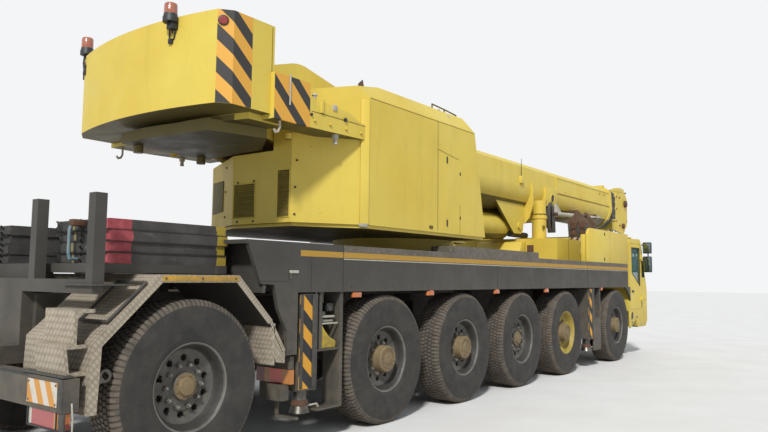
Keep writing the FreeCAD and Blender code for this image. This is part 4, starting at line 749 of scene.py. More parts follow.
print("making the counterweight's fittings")
beaconPlaces = {
    # x, y, bottom and top of the lens, depth and height of its bracket
    "right": (0.21, -0.708, 3.88, 4.01, 0.10, 0.09),
    "left": (0.415, 1.065, 3.965, 4.11, 0.06, 0.30),
}
wiring = {
    "right": [[(0.235, -0.69, 3.855), (0.238, -0.66, 3.79), (0.243, -0.655, 3.72), (0.246, -0.672, 3.695)],
              [(0.24, -0.72, 3.85), (0.246, -0.735, 3.78), (0.25, -0.715, 3.71), (0.25, -0.69, 3.70)],
              [(0.238, -0.70, 3.85), (0.242, -0.695, 3.76)]],
    "left": [[(0.40, 1.03, 3.93), (0.365, 1.03, 3.86), (0.37, 1.0, 3.79), (0.385, 1.03, 3.73)],
             [(0.40, 1.09, 3.93), (0.405, 1.115, 3.85), (0.41, 1.10, 3.76), (0.40, 1.06, 3.71)]],
}
for side, (x, y, bottom, top, depth, height) in beaconPlaces.items():
    tall = top - bottom
    makeFitting("beacon_" + side, "superstructure", ["beaconLens", "black"], {
        "rings": [((x, y, bottom), (0, 0, 1),
                   [(0.0, -0.03), (0.07, -0.03), (0.07, 0.016), (0.065, 0.024), (0.0625, 0.045), (0.0, 0.045)],
                   32, 1),
                  ((x, y, bottom), (0, 0, 1),
                   [(0.0, 0.02), (0.0605, 0.02), (0.0615, 0.05), (0.0605, tall + 0.002), (0.054, tall + 0.014),
                    (0.036, tall + 0.022), (0.0, tall + 0.025)], 32, 0)],
        "blocks": [((x - 0.018, y - 0.048, bottom - height - 0.003), (x + depth, y + 0.033, bottom - 0.018),
                    0.004, 1)],
        "nuts": [((x - 0.018, y, bottom - height * 0.5), (-1, 0, 0), 0.02, 0.01, 0.0, 1)],
    })
    plugX, plugY, plugZ = wiring[side][0][-1]
    makeFitting("beacon_wiring_" + side, "superstructure", ["black"], {
        "pipes": [(points, 0.007, 0) for points in wiring[side]],
        "blocks": [((plugX - 0.02, plugY - 0.03, plugZ - 0.03), (plugX + 0.03, plugY + 0.02, plugZ + 0.02),
                    0.008, 0)],
    })
for side, place, axis in (("right", (0.386, -1.2345, 3.809), (-0.632, -0.775, 0)),
                          ("left", (0.4675, 1.1776, 3.809), (-0.851, 0.525, 0))):
    makeFitting("reflector_" + side, "superstructure", ["redLens", "black"], {
        "rings": [(place, axis, [(0.0, 0.0), (0.048, 0.0), (0.048, 0.009), (0.043, 0.012), (0.0, 0.012)], 24, 1),
                  (place, axis, [(0.0, 0.01), (0.040, 0.01), (0.036, 0.016), (0.0, 0.02)], 24, 0)],
    })
makeFitting("counterweight_fittings", "superstructure", ["yellow", "pale", "black", "seam"], {
    "plates": [(atSide(1.347,
                       [(1.5, 3.19), (1.5, 3.315), (1.62, 3.315), (1.98, 3.29), (2.1, 3.25), (2.17, 3.19)]),
                (0, -0.014, 0), 0.003, 0)],
    "blocks": [((1.425, 1.34, 3.184), (2.32, 1.3475, 3.189), 0.0, 3),
               ((1.553, 1.335, 3.19), (1.6, 1.362, 3.335), 0.006, 0),
               ((1.735, 1.335, 3.255), (1.8, 1.358, 3.315), 0.004, 1),
               ((0.957, 1.15, 3.6), (0.98, 1.26, 3.88), 0.006, 2),
               ((0.957, 1.05, 3.8), (0.99, 1.12, 3.9), 0.006, 2),
               ((0.955, 1.2, 3.66), (1.0, 1.225, 3.72), 0.004, 2)],
    "rods": [((1.118, 1.352, 3.182), (1.118, 1.352, 3.476), 0.009, None, 1),
             ((1.513, 1.3, 3.29), (1.513, 1.3, 3.372), 0.02, None, 1),
             ((1.513, 1.3, 3.366), (1.513, 1.3, 3.386), 0.03, 0.022, 1),
             ((1.936, 1.345, 3.192), (1.936, 1.362, 3.192), 0.022, None, 2),
             ((1.42, 1.3, 3.15), (1.42, 1.358, 3.15), 0.016, None, 2),
             ((1.5, 0.95, 3.02), (1.5, 0.95, 2.96), 0.04, None, 0),
             ((1.86, 1.28, 3.04), (1.86, 1.28, 2.99), 0.035, None, 1),
             ((1.86, 1.28, 2.99), (1.86, 1.28, 2.93), 0.02, 0.026, 1)],
    "pipes": [(atSide(1.3, [(1.039, 3.02), (1.039, 2.955), (1.02, 2.915), (0.985, 2.905), (0.965, 2.93)]),
               0.012, 1)],
    "nuts": [((x, 1.346, 3.1), (0, 1, 0), 0.03, 0.012, 0.006, 0) for x in (1.47, 1.7, 1.95, 2.2)],
}, sides=(1, -1))
makeFitting("counterweight_seams", "superstructure", ["seam", "yellow"], {
    "rods": [((0.925, -1.2955, 3.09), (0.925, -1.2955, 3.89), 0.003, None, 0)],
    "blocks": [((0.6, -0.3, 3.905), (0.75, -0.24, 3.945), 0.01, 1),
               ((0.6, 0.24, 3.905), (0.75, 0.3, 3.945), 0.01, 1)],
    "pipes": [(atSide(y, [(0.62, 3.9), (0.62, 3.955), (0.73, 3.955), (0.73, 3.9)]), 0.014, 1)
              for y in (-0.9, 0.9)],
})


# Machinery house: seam lines of painted shade, latches, studs, louvres, the corner bead and what stands on its roof

print("making the machinery house's fittings")
houseSide = -1.3625
rearFace = ((-1, 0, 0), [(1.598, y, z) for z in (2.147, 2.582) for y in (-0.093, -0.351)])
leftFacet = ((-0.894, 0.449, 0), [(1.7265, 0.256, 2.797), (1.732, 0.267, 2.518), (1.7365, 0.276, 2.229)])
rightFacet = ((-0.517, -0.856, 0), [(1.646, -0.943, 2.765), (1.634, -0.936, 2.481), (1.632, -0.934, 2.199),
                                    (2.27, -1.320, 3.48), (2.27, -1.320, 2.6), (2.27, -1.320, 2.188)])
studs = []
for axis, places in (rearFace, leftFacet, rightFacet):
    studs.extend((place, axis, 0.022, 0.01, 0.0, 0) for place in places)
makeFitting("house_studs", "superstructure", ["black"], {"nuts": studs})
# painted shade: dark strips where the gaps between the door panels would lie in shadow
makeFitting("house_gap_shade", "superstructure", ["seam"], {
    "blocks": [((3.7145, houseSide, 2.135), (3.7215, houseSide - 0.0015, 3.52), 0.0, 0),
               ((4.252, houseSide, 2.114), (4.257, houseSide - 0.0015, 2.506), 0.0, 0),
               ((2.345, houseSide, 3.512), (4.62, houseSide - 0.0015, 3.517), 0.0, 0)],
    "plates": [(atSide(houseSide, [(3.718, 3.165), (4.229, 3.099), (4.229, 3.093), (3.718, 3.159)]),
                (0, -0.0015, 0), 0.0, 0)],
})
# place along the house, height, width, depth, length and bevel of each latch
latchRows = ((3.921, 3.012, 0.020, 0.012, 0.085, 0.004), (3.925, 2.206, 0.020, 0.012, 0.085, 0.004),
             (4.248, 2.894, 0.015, 0.010, 0.040, 0.003), (4.248, 2.316, 0.015, 0.010, 0.040, 0.003))
makeFitting("house_latches", "superstructure", ["black", "seam"], {
    "blocks": [((x, houseSide, z), (x + wide, houseSide - deep, z + long), bevel, 0)
               for x, z, wide, deep, long, bevel in latchRows],
    "rods": [((x, houseSide, 2.173), (x, houseSide - 0.006, 2.173), 0.022, None, 1) for x in (3.545, 3.585)],
})
makeFitting("house_bead", "superstructure", ["yellow", "pale"], {
    "plates": [([(2.245, -1.306, 2.125), (2.32, -1.352, 2.125), (2.335, -1.368, 2.125), (2.318, -1.372, 2.125),
                 (2.236, -1.322, 2.125)], (0, 0, 1.37), 0.004, 0)],
    "blocks": [((2.235, -1.362, 2.09), (2.33, -1.30, 2.128), 0.008, 1)],
})
makeFitting("roof_rail", "superstructure", ["pale", "seam"], {
    "pipes": [(atSide(-1.1, [(3.98, 3.73), (3.98, 3.83), (4.3, 3.815), (4.58, 3.795), (4.58, 3.73)]), 0.01, 1),
              ([(3.99, -1.19, 3.745), (4.08, -1.17, 3.722), (4.17, -1.25, 3.665)], 0.016, 0),
              ([(4.28, -1.1, 3.73), (4.28, -1.1, 3.816)], 0.01, 1)],
})
makeFitting("roof_aerial", "superstructure", ["black", "rust"], {
    "rods": [((2.345, -1.22, 3.66), (2.345, -1.22, 3.70), 0.035, 0.03, 1),
             ((2.345, -1.22, 3.69), (2.375, -1.22, 3.745), 0.03, 0.006, 0)],
})
louvres = {"pitch": 0.018, "blade": 0.011, "openings": ((-0.372, -0.028, 2.19, 2.56), (-0.894, -0.713, 2.17, 2.67))}
blades = []
for low, high, bottom, top in louvres["openings"]:
    for index in range(int((top - bottom) / louvres["pitch"])):
        z = bottom + 0.006 + index * louvres["pitch"]
        blades.append((atSide(low + 0.01,
                              [(1.6, z + louvres["blade"]), (1.592, z), (1.59, z + 0.002),
                               (1.598, z + louvres["blade"] + 0.002)]), (0, high - low - 0.02, 0), 0.0, 0))
makeFitting("rear_louvres", "superstructure", ["louvre", "yellow"], {
    "plates": blades,
    "pipes": [([(1.596, low, bottom), (1.596, low, top), (1.596, high, top), (1.596, high, bottom),
                (1.596, low, bottom)], 0.006, 1) for low, high, bottom, top in louvres["openings"]],
})
(rearX, rearY), (frontX, frontY) = (1.778, 0.36), (2.010, 0.822)
makeFitting("side_mesh", "superstructure", ["dustMesh", "yellow"], {
    "plates": [([(rearX, rearY, 2.30), (frontX, frontY, 2.30), (frontX, frontY, 2.69), (rearX, rearY, 2.66)],
                (-0.009, 0.0045, 0), 0.003, 0)],
    "pipes": [([(rearX - 0.006, rearY, 2.31 + 0.03 * row), (frontX - 0.006, frontY, 2.31 + 0.03 * row)], 0.0035, 0)
              for row in range(12)],
})


# Boom: the aiming plate, bracket and pole on its right side, dark lines of painted shadow under ledges, collars and
# head

print("making the boom's fittings")
boomSide = -0.475
makeFitting("boom_aiming_plate", "boom_base", ["yellow", "black", "seam"], {
    "plates": [(atSide(boomSide, [(9.03, 2.97), (9.03, 3.33), (9.55, 3.33), (9.55, 3.24), (9.49, 2.97)]),
                (0, 0.02, 0), 0.004, 0)],
    "rings": [((9.3, boomSide - 0.001, 3.13), (0, -1, 0),
               [(0.078, 0.0), (0.094, 0.0), (0.094, 0.012), (0.078, 0.012), (0.078, 0.0)], 28, 0),
              ((9.3, boomSide - 0.001, 3.13), (0, -1, 0),
               [(0.0, 0.0), (0.076, 0.0), (0.076, 0.002), (0.0, 0.002)], 28, 1)],
})
makeFitting("boom_hanger", "boom_base", ["frameDark", "pale"], {
    "plates": [(atSide(-0.5, [(9.11, 2.45), (9.05, 2.8), (9.1, 3.02), (9.2, 3.06), (9.38, 2.9), (9.4, 2.47)]),
                (0, 0.05, 0), 0.01, 0)],
    "blocks": [((9.15, -0.5, 2.55), (9.22, -0.36, 2.98), 0.01, 0)],
})
makeFitting("stowed_pole", "boom_base", ["pale", "rust", "brown"], {
    "rods": [((9.34, -0.53, 2.83), (10.55, -0.53, 2.885), 0.05, 0.042, 0),
             ((10.55, -0.53, 2.885), (11.845, -0.53, 2.955), 0.042, 0.016, 0),
             ((9.34, -0.53, 2.83), (9.3, -0.53, 2.828), 0.05, 0.02, 1)],
    "plates": [(atSide(-0.5, [(9.32, 2.78), (9.32, 3.03), (9.38, 3.02), (9.56, 2.9), (9.56, 2.8)]),
                (0, -0.05, 0), 0.006, 0)],
    "blocks": [((10.4, -0.56, 2.84), (10.46, -0.3, 3.0), 0.006, 1),
               ((11.5, -0.55, 2.9), (11.55, -0.34, 3.0), 0.006, 1)],
})
makeFitting("boom_aerial", "boom_base", ["black", "yellow"], {
    "rods": [((7.93, -0.47, 3.40), (7.94, -0.47, 3.74), 0.008, 0.004, 0)],
    "blocks": [((7.90, -0.49, 3.28), (8.02, -0.42, 3.42), 0.008, 1)],
})
makeFitting("boom_side_shade_lines", "boom_base", ["seam", "yellow"], {
    # painted shadow: the lower dark line lies under the edge of the proud upper side plate
    "blocks": [((9.62, 0.4625, 3.275), (12.66, 0.4635, 3.283), 0.0, 0),
               ((9.62, 0.4515, 3.58), (12.66, 0.4525, 3.586), 0.0, 0)],
    "nuts": [((x, 0.461, 3.34), (0, 1, 0), 0.026, 0.01, 0.0, 1) for x in (10.0, 10.9, 11.8, 12.5)],
    "rods": [((x, 0.455, 3.52), (x, 0.47, 3.52), 0.012, None, 0) for x in (12.02, 12.3)],
}, sides=(1, -1))
for index, (body, start, end) in enumerate((("telescope_1", 12.81, 12.91), ("telescope_2", 12.925, 13.02))):
    makeFitting("collar_plate_%d" % (index + 1), body, ["frameDark", "steel", "rust"], {
        "blocks": [((start, 0.466, 3.0), (end, 0.484, 3.24), 0.006, 0),
                   ((start, 0.466, 3.3), (end, 0.48, 3.56), 0.006, 0),
                   ((start + 0.02, 0.478, 3.05), (end - 0.02, 0.49, 3.1), 0.004, 1)],
        "nuts": [((start + 0.05, 0.482, z), (0, 1, 0), 0.03, 0.012, 0.008, 1) for z in (3.14, 3.2, 3.36, 3.5)],
        "rods": [((start + 0.05, 0.47, 2.95), (start + 0.05, 0.488, 2.95), 0.02, None, 2)],
    }, sides=(1, -1))
makeFitting("head_fittings", "telescope_3", ["yellow", "rust", "steel", "brown"], {
    "plates": [(atSide(0.36, [(13.3, 3.72), (13.3, 3.8), (13.86, 3.86), (13.98, 3.8), (13.98, 3.74)]),
                (0, -0.02, 0), 0.004, 0)],
    "rods": [((14.1, 0.36, 3.47), (14.1, 0.41, 3.47), 0.09, 0.08, 1),
             ((13.93, 0.36, 2.9), (13.93, 0.4, 2.9), 0.07, 0.06, 1),
             ((14.22, 0.0, 3.76), (14.22, 0.36, 3.76), 0.022, None, 2),
             ((14.27, 0.0, 3.05), (14.27, 0.36, 3.05), 0.022, None, 2)],
    "nuts": [((x, 0.358, z), (0, 1, 0), 0.035, 0.016, 0.01, 1)
             for x, z in ((13.45, 3.0), (13.45, 3.3), (13.45, 3.6), (13.7, 2.9), (13.7, 3.6))],
    "blocks": [((13.36, 0.352, 2.82), (13.42, 0.372, 3.7), 0.005, 0)],
}, sides=(1, -1))


# Winch: wire rope in one full layer on the drum

ropeTurns = {"drum": 0.2505, "rope": 0.026, "half": 0.398, "steps": 48}
rows = []
for index in range(int(2 * ropeTurns["half"] / ropeTurns["rope"])):
    y = -ropeTurns["half"] + index * ropeTurns["rope"]
    for part, lift in ((0.02, 0.0), (0.25, 0.85), (0.5, 1.0), (0.75, 0.85)):
        rows.append((ropeTurns["drum"] + ropeTurns["rope"] * lift, y + part * ropeTurns["rope"]))
rows.append((ropeTurns["drum"], ropeTurns["half"]))
ropeMesh = bmesh.new()
addRing(ropeMesh, middleOf("winch_drum"), (0, 1, 0), [(0.2495, -0.3985)] + rows + [(0.2495, 0.3985)],
        ropeTurns["steps"], closed=True)
finishPiece("winch_rope", ropeMesh, "winch_drum", ["rope"], 60.0)


# Boom rest and hook block

print("making the deck's fittings")
flangeStuds = []
for y in (-0.45, 0.45):
    for index in range(10):
        angle = math.radians(36.0 * index)
        flangeStuds.append(((8.73 + 0.142 * math.cos(angle), y + 0.142 * math.sin(angle), 2.75), (0, 0, 1),
                            0.014, 0.009, 0.0, 1))
makeFitting("rest_fittings", "carrier", ["yellow", "rust", "black", "seam"], {
    "nuts": flangeStuds,
    "blocks": [((8.144, -0.6, 2.03), (8.151, -0.47, 2.17), 0.004, 1),
               ((8.6, -0.6, 2.5), (8.66, -0.575, 2.56), 0.004, 3),
               ((8.66, -1.053, 1.88), (8.67, -1.049, 2.285), 0.0, 3)],
    "rods": [((7.93, -0.22, 2.375), (8.62, -0.22, 2.375), 0.055, None, 2),
             ((7.9, -0.22, 2.375), (7.93, -0.22, 2.375), 0.035, None, 2)],
    "plates": [(atSide(-0.45,
                       [(8.151, 1.9), (7.62, 1.88), (7.62, 2.02), (7.9, 2.06), (7.96, 2.22), (8.151, 2.25)]),
                (0, 0.9, 0), 0.01, 0)],
})
hook = {"x": 9.48, "y": -1.0}
cheekRows = [(0.205, 2.60), (0.215, 2.645), (0.195, 2.675), (0.02, 2.87)]
cheekPlates = []
for x in (-0.201, 0.191):
    outlineRows = cheekRows + [(-out, z) for out, z in reversed(cheekRows)]
    cheekPlates.append(([(hook["x"] + x, hook["y"] + out, z) for out, z in outlineRows], (0.010, 0, 0), 0.003, 0))
    cheekPlates.append(([(hook["x"] + x, hook["y"] + out, z)
                         for out, z in ((-0.19, 2.33), (0.19, 2.33), (0.205, 2.598), (-0.205, 2.598))],
                        (0.008, 0, 0), 0.003, 4))
makeFitting("hook_cheeks", "carrier", ["brown", "hookBands", "rust", "steel", "frameDark"], {
    "plates": cheekPlates
              + [([(hook["x"] - 0.215, hook["y"] + 0.18, 2.36), (hook["x"] - 0.215, hook["y"] - 0.18, 2.36),
                   (hook["x"] - 0.215, hook["y"] - 0.08, 1.93), (hook["x"] - 0.215, hook["y"] + 0.08, 1.93)],
                  (0.012, 0, 0), 0.003, 1)],
    "rings": [((hook["x"] - 0.202, hook["y"] + out, z), (-1, 0, 0),
               [(0.0, 0.0), (0.055, 0.0), (0.055, 0.01), (0.035, 0.016), (0.0, 0.016)], 20, 2)
              for out, z in ((0.08, 2.44), (-0.08, 2.44), (0.08, 2.57), (-0.08, 2.57))],
    "nuts": [((hook["x"] - 0.202, hook["y"] + 0.125 * math.cos(turn), 2.51 + 0.14 * math.sin(turn)), (-1, 0, 0),
              0.024, 0.012, 0.008, 3) for turn in [math.radians(45.0 * index) for index in range(8)]],
    "rods": [((hook["x"] - 0.2, hook["y"], 2.8), (hook["x"] + 0.2, hook["y"], 2.8), 0.03, None, 3)],
})


# Hood behind the driver's cab: thin wings with a turned rear edge, the engine cover and its louvres

hoodMesh = bmesh.new()
for side in (-1, 1):
    outlineRows = [(8.45, 1.868), (10.69, 1.868), (10.69, 2.478), (8.60, 2.478), (8.51, 2.44), (8.462, 2.36)]
    addPlate(hoodMesh, [at(x, side * 1.498, z) for x, z in outlineRows], Vector((0, -side * 0.055, 0)), 0.012)
    addBlock(hoodMesh, at(8.455, side * 1.44, 1.868), at(8.49, side * 1.36, 2.36), 0.008)
    addBlock(hoodMesh, at(9.70, side * 1.445, 1.868), at(9.76, side * 1.30, 2.37), 0.006)
addPlate(hoodMesh,
         [at(9.7, -1.443, 1.868), at(10.7, -1.443, 1.868), at(10.7, -1.443, 2.42), at(9.8, -1.443, 2.385),
          at(9.72, -1.443, 2.33)], Vector((0, 2.886, 0)), 0.015)
for index in range(16):
    x = 9.86 + index * 0.047
    addPlate(hoodMesh, [at(x, -0.6, 2.385 + index * 0.0018), at(x + 0.012, -0.6, 2.385 + index * 0.0018),
                        at(x + 0.030, -0.6, 2.412 + index * 0.0018), at(x + 0.018, -0.6, 2.412 + index * 0.0018)],
             Vector((0, 1.2, 0)), 0.0, 1)
hood = finishPiece("hood_wings", hoodMesh, "carrier", ["yellow", "seam"])
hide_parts("engine_hood")
makeFitting("hood_latches", "carrier", ["black", "seam"], {
    "blocks": [((9.295, 1.497, 2.375), (9.322, 1.508, 2.435), 0.004, 0),
               ((9.275, 1.497, 1.905), (9.302, 1.508, 1.965), 0.004, 0),
               ((9.6, 1.4975, 1.88), (9.604, 1.499, 2.47), 0.0, 1)],
}, sides=(1, -1))


# Rear end: fender rims, bumper sheets, tail lamp frames and the mats' fittings


def flangeRows(outer, inner):
    # quads between the outer and the inner line of a folded rim
    quads = []
    for index in range(len(outer) - 1):
        quads.append([outer[index], outer[index + 1], inner[index + 1], inner[index]])
    return quads


fenderRim = flangeRows([(-0.885, 0.60), (-0.865, 1.09), (-0.36, 1.561), (0.42, 1.561), (0.812, 1.172)],
                       [(-0.815, 0.60), (-0.795, 1.06), (-0.325, 1.50), (0.395, 1.50), (0.765, 1.14)])
rimPlates = [([(x, 1.496, z) for x, z in quad], (0, 0.008, 0), 0.0, 0) for quad in fenderRim]
# The last plate lies over the fender's lower front end.
makeFitting("fender_rims", "carrier", ["plate", "amberPaint", "frameDark", "black"], {
    "plates": rimPlates
              + [(atSide(1.494,
                         [(0.8, 1.17), (0.9, 1.03), (0.99, 0.9), (0.985, 0.78), (0.87, 0.8), (0.83, 0.93)]),
                  (0, -0.42, 0), 0.004, 0)],
    "blocks": [((-0.33, 1.503, 1.51), (0.415, 1.509, 1.552), 0.002, 1),
               ((0.835, 1.08, 0.775), (0.853, 1.5, 1.14), 0.004, 0),
               ((-0.86, 1.06, 1.475), (-0.5, 1.44, 1.487), 0.004, 2)],
    "nuts": [((x, 1.508, 1.531), (0, 1, 0), 0.014, 0.006, 0.0, 3) for x in (-0.3, 0.04, 0.38)],
    "pipes": [([(-0.74, 1.1, 1.225), (-0.74, 1.46, 1.225), (-0.44, 1.46, 1.5), (-0.44, 1.1, 1.5),
                (-0.74, 1.1, 1.225)], 0.012, 2)],
}, sides=(1, -1))
makeFitting("bumper_sheets", "carrier", ["sideBands", "frameDark", "black", "steel", "pale"], {
    "blocks": [((-1.056, 1.02, 0.672), (-1.048, 1.425, 0.832), 0.0, 0),
               ((-1.058, 1.425, 0.64), (-1.02, 1.493, 0.86), 0.004, 1),
               ((-1.045, 1.43, 0.36), (-1.03, 1.495, 0.64), 0.004, 1),
               ((-1.05, 0.9, 0.865), (-0.98, 1.49, 0.88), 0.003, 1),
               ((-1.052, 0.42, 0.845), (-1.045, 1.0, 0.862), 0.0, 2)],
    "pipes": [([(-0.99, 1.497, 0.7), (-0.985, 1.505, 0.6), (-0.98, 1.497, 0.52), (-0.985, 1.497, 0.45)], 0.006,
               4), ([(-0.87, 1.42, 0.8), (-0.8, 1.45, 0.8), (-0.75, 1.45, 0.83)], 0.022, 3)],
    "rings": [((-0.735, 1.45, 0.85), (0, 1, 0),
               [(0.028, -0.012), (0.048, -0.012), (0.052, 0.0), (0.048, 0.012), (0.028, 0.012),
                (0.028, -0.012)], 18, 3)],
    "nuts": [((-1.056, y, z), (-1, 0, 0), 0.014, 0.005, 0.0, 3) for y in (1.04, 1.405) for z in (0.69, 0.815)],
}, sides=(1, -1))
makeFitting("tail_lamp_frames", "carrier", ["black", "amberLens", "redLens", "frameDark"], {
    "blocks": [((-1.045, 1.005, 0.635), (-0.975, 1.485, 0.65), 0.003, 3),
               ((-1.045, 1.005, 0.51), (-0.975, 1.485, 0.523), 0.003, 0),
               ((-1.045, 1.008, 0.512), (-0.975, 1.022, 0.648), 0.003, 0),
               ((-1.042, 1.388, 0.512), (-0.975, 1.402, 0.648), 0.003, 0),
               ((-1.02, 1.462, 0.53), (-0.985, 1.478, 0.56), 0.002, 2),
               ((-1.02, 1.462, 0.565), (-0.985, 1.478, 0.63), 0.002, 1)],
}, sides=(1, -1))
# painted shade: dark strips between the stacked boards, where their gaps lie in shadow
matGapShade = []
for index in range(1, 4):
    z = 1.64 + 0.08625 * index
    matGapShade.extend([((-0.585, 1.168, z - 0.006), (0.555, 1.176, z + 0.006), 0.0, 0),
                     ((-0.596, 0.43, z - 0.006), (-0.585, 1.165, z + 0.006), 0.0, 0)])
makeFitting("mat_gap_shade", "carrier", ["seal"], {"blocks": matGapShade}, sides=(1, -1))
makeFitting("mat_handles", "carrier", ["blueGrey", "steel", "rust"], {
    "pipes": [(atSide(0.76,
                      [(-0.6, 1.945), (-0.655, 1.945), (-0.668, 1.9), (-0.668, 1.72), (-0.655, 1.675),
                       (-0.6, 1.675)]), 0.014, 0)],
    "rods": [((-0.6, y, 1.6 + 0.05 * index), (-0.63, tip, 1.63 + 0.05 * index), 0.008, None, 1)
             for y, tip in ((0.83, 0.845), (0.5, 0.485)) for index in range(8)],
    "blocks": [((-0.7, 0.8, 1.93), (-0.59, 0.87, 1.98), 0.006, 2)],
}, sides=(1, -1))


# Outriggers: what hangs in the bays beside the jacks

print("making the outriggers' fittings")


def bayChock(x, y, z, length, height):
    # the side of a wheel chock: a wedge with a curved tread
    profile = ((0.0, 0.0), (1.0, 0.0), (1.0, 0.25), (0.6, 0.45), (0.3, 0.75), (0.12, 1.0), (0.0, 1.0))
    return [(x + length * along, y, z + height * up) for along, up in profile]


makeFitting("rear_bay_right", "carrier", ["pale", "chock", "steel", "frameDark", "black"], {
    "plates": [(bayChock(1.46, -1.47, 0.872, 0.24, 0.24), (0, 0.16, 0), 0.006, 1)],
    "pipes": [([(1.5, -1.38, 1.405), (1.5, -1.38, 1.16), (1.56, -1.42, 1.13), (1.7, -1.42, 1.13)], 0.014, 0),
              ([(1.62, -1.36, 1.405), (1.62, -1.36, 1.2), (1.7, -1.36, 1.18)], 0.012, 2),
              ([(1.48, -1.44, 1.17), (1.7, -1.44, 1.17)], 0.012, 0)],
    "rods": [((1.55, -1.4, 1.2), (1.55, -1.44, 1.2), 0.03, 0.024, 2),
             ((1.64, -1.4, 1.25), (1.64, -1.45, 1.25), 0.035, 0.03, 3),
             ((1.56, -1.38, 1.26), (1.56, -1.38, 1.32), 0.028, None, 4)],
    "blocks": [((1.6, -1.44, 1.22), (1.7, -1.36, 1.3), 0.008, 4),
               ((1.45, -1.48, 1.1), (1.72, -1.465, 1.115), 0.003, 0)],
})
makeFitting("rear_bay_left", "carrier", ["pale", "chock", "steel", "frameDark", "black"], {
    "plates": [(bayChock(1.20, 1.47, 0.872, 0.24, 0.24), (0, -0.16, 0), 0.006, 1)],
    "pipes": [([(1.22, 1.38, 1.405), (1.22, 1.38, 1.16), (1.30, 1.42, 1.13), (1.44, 1.42, 1.13)], 0.014, 0)],
    "blocks": [((1.32, 1.36, 1.22), (1.44, 1.44, 1.30), 0.008, 4)],
})
makeFitting("front_bay_right", "carrier", ["pale", "yellow", "steel", "frameDark"], {
    "rings": [((9.14, -1.38, 0.8), (0, 0, 1),
               [(0.0, 0.0), (0.062, 0.0), (0.07, 0.01), (0.07, 0.19), (0.05, 0.225), (0.02, 0.235),
                (0.0, 0.235)], 28, 1)],
    "pipes": [([(9.12, -1.4, 1.03), (9.1, -1.42, 1.1), (9.09, -1.42, 1.4)], 0.018, 0),
              ([(8.8, -1.4, 1.4), (8.8, -1.4, 1.1), (8.86, -1.44, 1.05)], 0.014, 2)],
    "blocks": [((9.066, -1.46, 0.77), (9.22, -1.3, 0.8), 0.006, 3),
               ((9.066, -1.4, 0.9), (9.22, -1.36, 0.92), 0.004, 2)],
})
markerPlaces = (2.0, 3.37, 5.03, 6.68)
makeFitting("side_markers", "carrier", ["amberLens", "black"], {
    "blocks": [((x - 0.072, 1.462, 1.350), (x + 0.072, 1.492, 1.404), 0.006, 0) for x in markerPlaces]
              + [((x - 0.085, 1.45, 1.385), (x - 0.07, 1.485, 1.40), 0.003, 1) for x in markerPlaces],
}, sides=(1, -1))
makeFitting("skirt_fittings", "carrier", ["pale", "steel", "deckSeam", "frameDark"], {
    "blocks": [((1.01, 1.499, 1.585), (1.125, 1.512, 1.612), 0.004, 0),
               ((1.005, 1.499, 1.53), (1.04, 1.508, 1.59), 0.004, 1),
               ((1.76, 1.4995, 1.42), (1.766, 1.5015, 1.868), 0.0, 2),
               ((8.395, 1.4995, 1.42), (8.401, 1.5015, 1.868), 0.0, 2),
               ((5.02, 1.4995, 1.42), (5.026, 1.5015, 1.72), 0.0, 2),
               ((0.505, 1.4995, 1.51), (1.0, 1.501, 1.514), 0.0, 2),
               ((1.3, 1.4995, 1.42), (1.305, 1.501, 1.73), 0.0, 2),
               ((1.77, 1.498, 1.726), (10.63, 1.503, 1.737), 0.002, 0)],
    "nuts": [((x, 1.4995, 1.46), (0, 1, 0), 0.016, 0.006, 0.0, 3)
             for x in (1.9, 2.6, 3.3, 4.0, 4.7, 5.4, 6.1, 6.8, 7.5, 8.2)],
}, sides=(1, -1))
for end, places in (("rear", {"r": 1.29, "l": 1.61}), ("front", {"r": 8.57, "l": 8.89})):
    for side, x in places.items():
        out = -1 if side == "r" else 1
        makeFitting("jack_house_fittings_%s_%s" % (end, side), "beam_%s_%s" % (end, side),
                    ["frameDark", "steel", "pale"], {
            "blocks": [((x - 0.12, out * 1.285, 0.505), (x + 0.12, out * 1.495, 0.523), 0.005, 0),
                       ((x - 0.116, out * 1.49, 0.53), (x - 0.078, out * 1.4975, 1.39), 0.002, 0),
                       ((x + 0.048, out * 1.49, 0.53), (x + 0.116, out * 1.4975, 1.39), 0.002, 0)],
            "pipes": [([(x + 0.09, out * 1.33, 1.392), (x + 0.09, out * 1.33, 1.405),
                        (x + 0.02, out * 1.31, 1.405)], 0.009, 1)],
            "nuts": [((x + dx, out * 1.39 + dy, 0.504), (0, 0, -1), 0.02, 0.01, 0.0, 1)
                     for dx in (-0.09, 0.09) for dy in (-0.08, 0.08)],
        })
        makeFitting("jack_foot_fittings_%s_%s" % (end, side), "jack_%s_%s" % (end, side),
                    ["steel", "rust", "pale"], {
            "rings": [((x, out * 1.39, 0.365), (0, 0, 1),
                       [(0.066, 0.0), (0.082, 0.0), (0.086, 0.02), (0.078, 0.045), (0.066, 0.05)], 28, 1)],
            "rods": [((x + 0.05, out * 1.39, 0.345), (x + 0.17, out * 1.45, 0.36), 0.009, None, 2),
                     ((x + 0.17, out * 1.45, 0.36), (x + 0.19, out * 1.45, 0.33), 0.012, None, 2)],
        })


# Driver's cab: side panels, seals, door handles, wipers, grille and mirrors

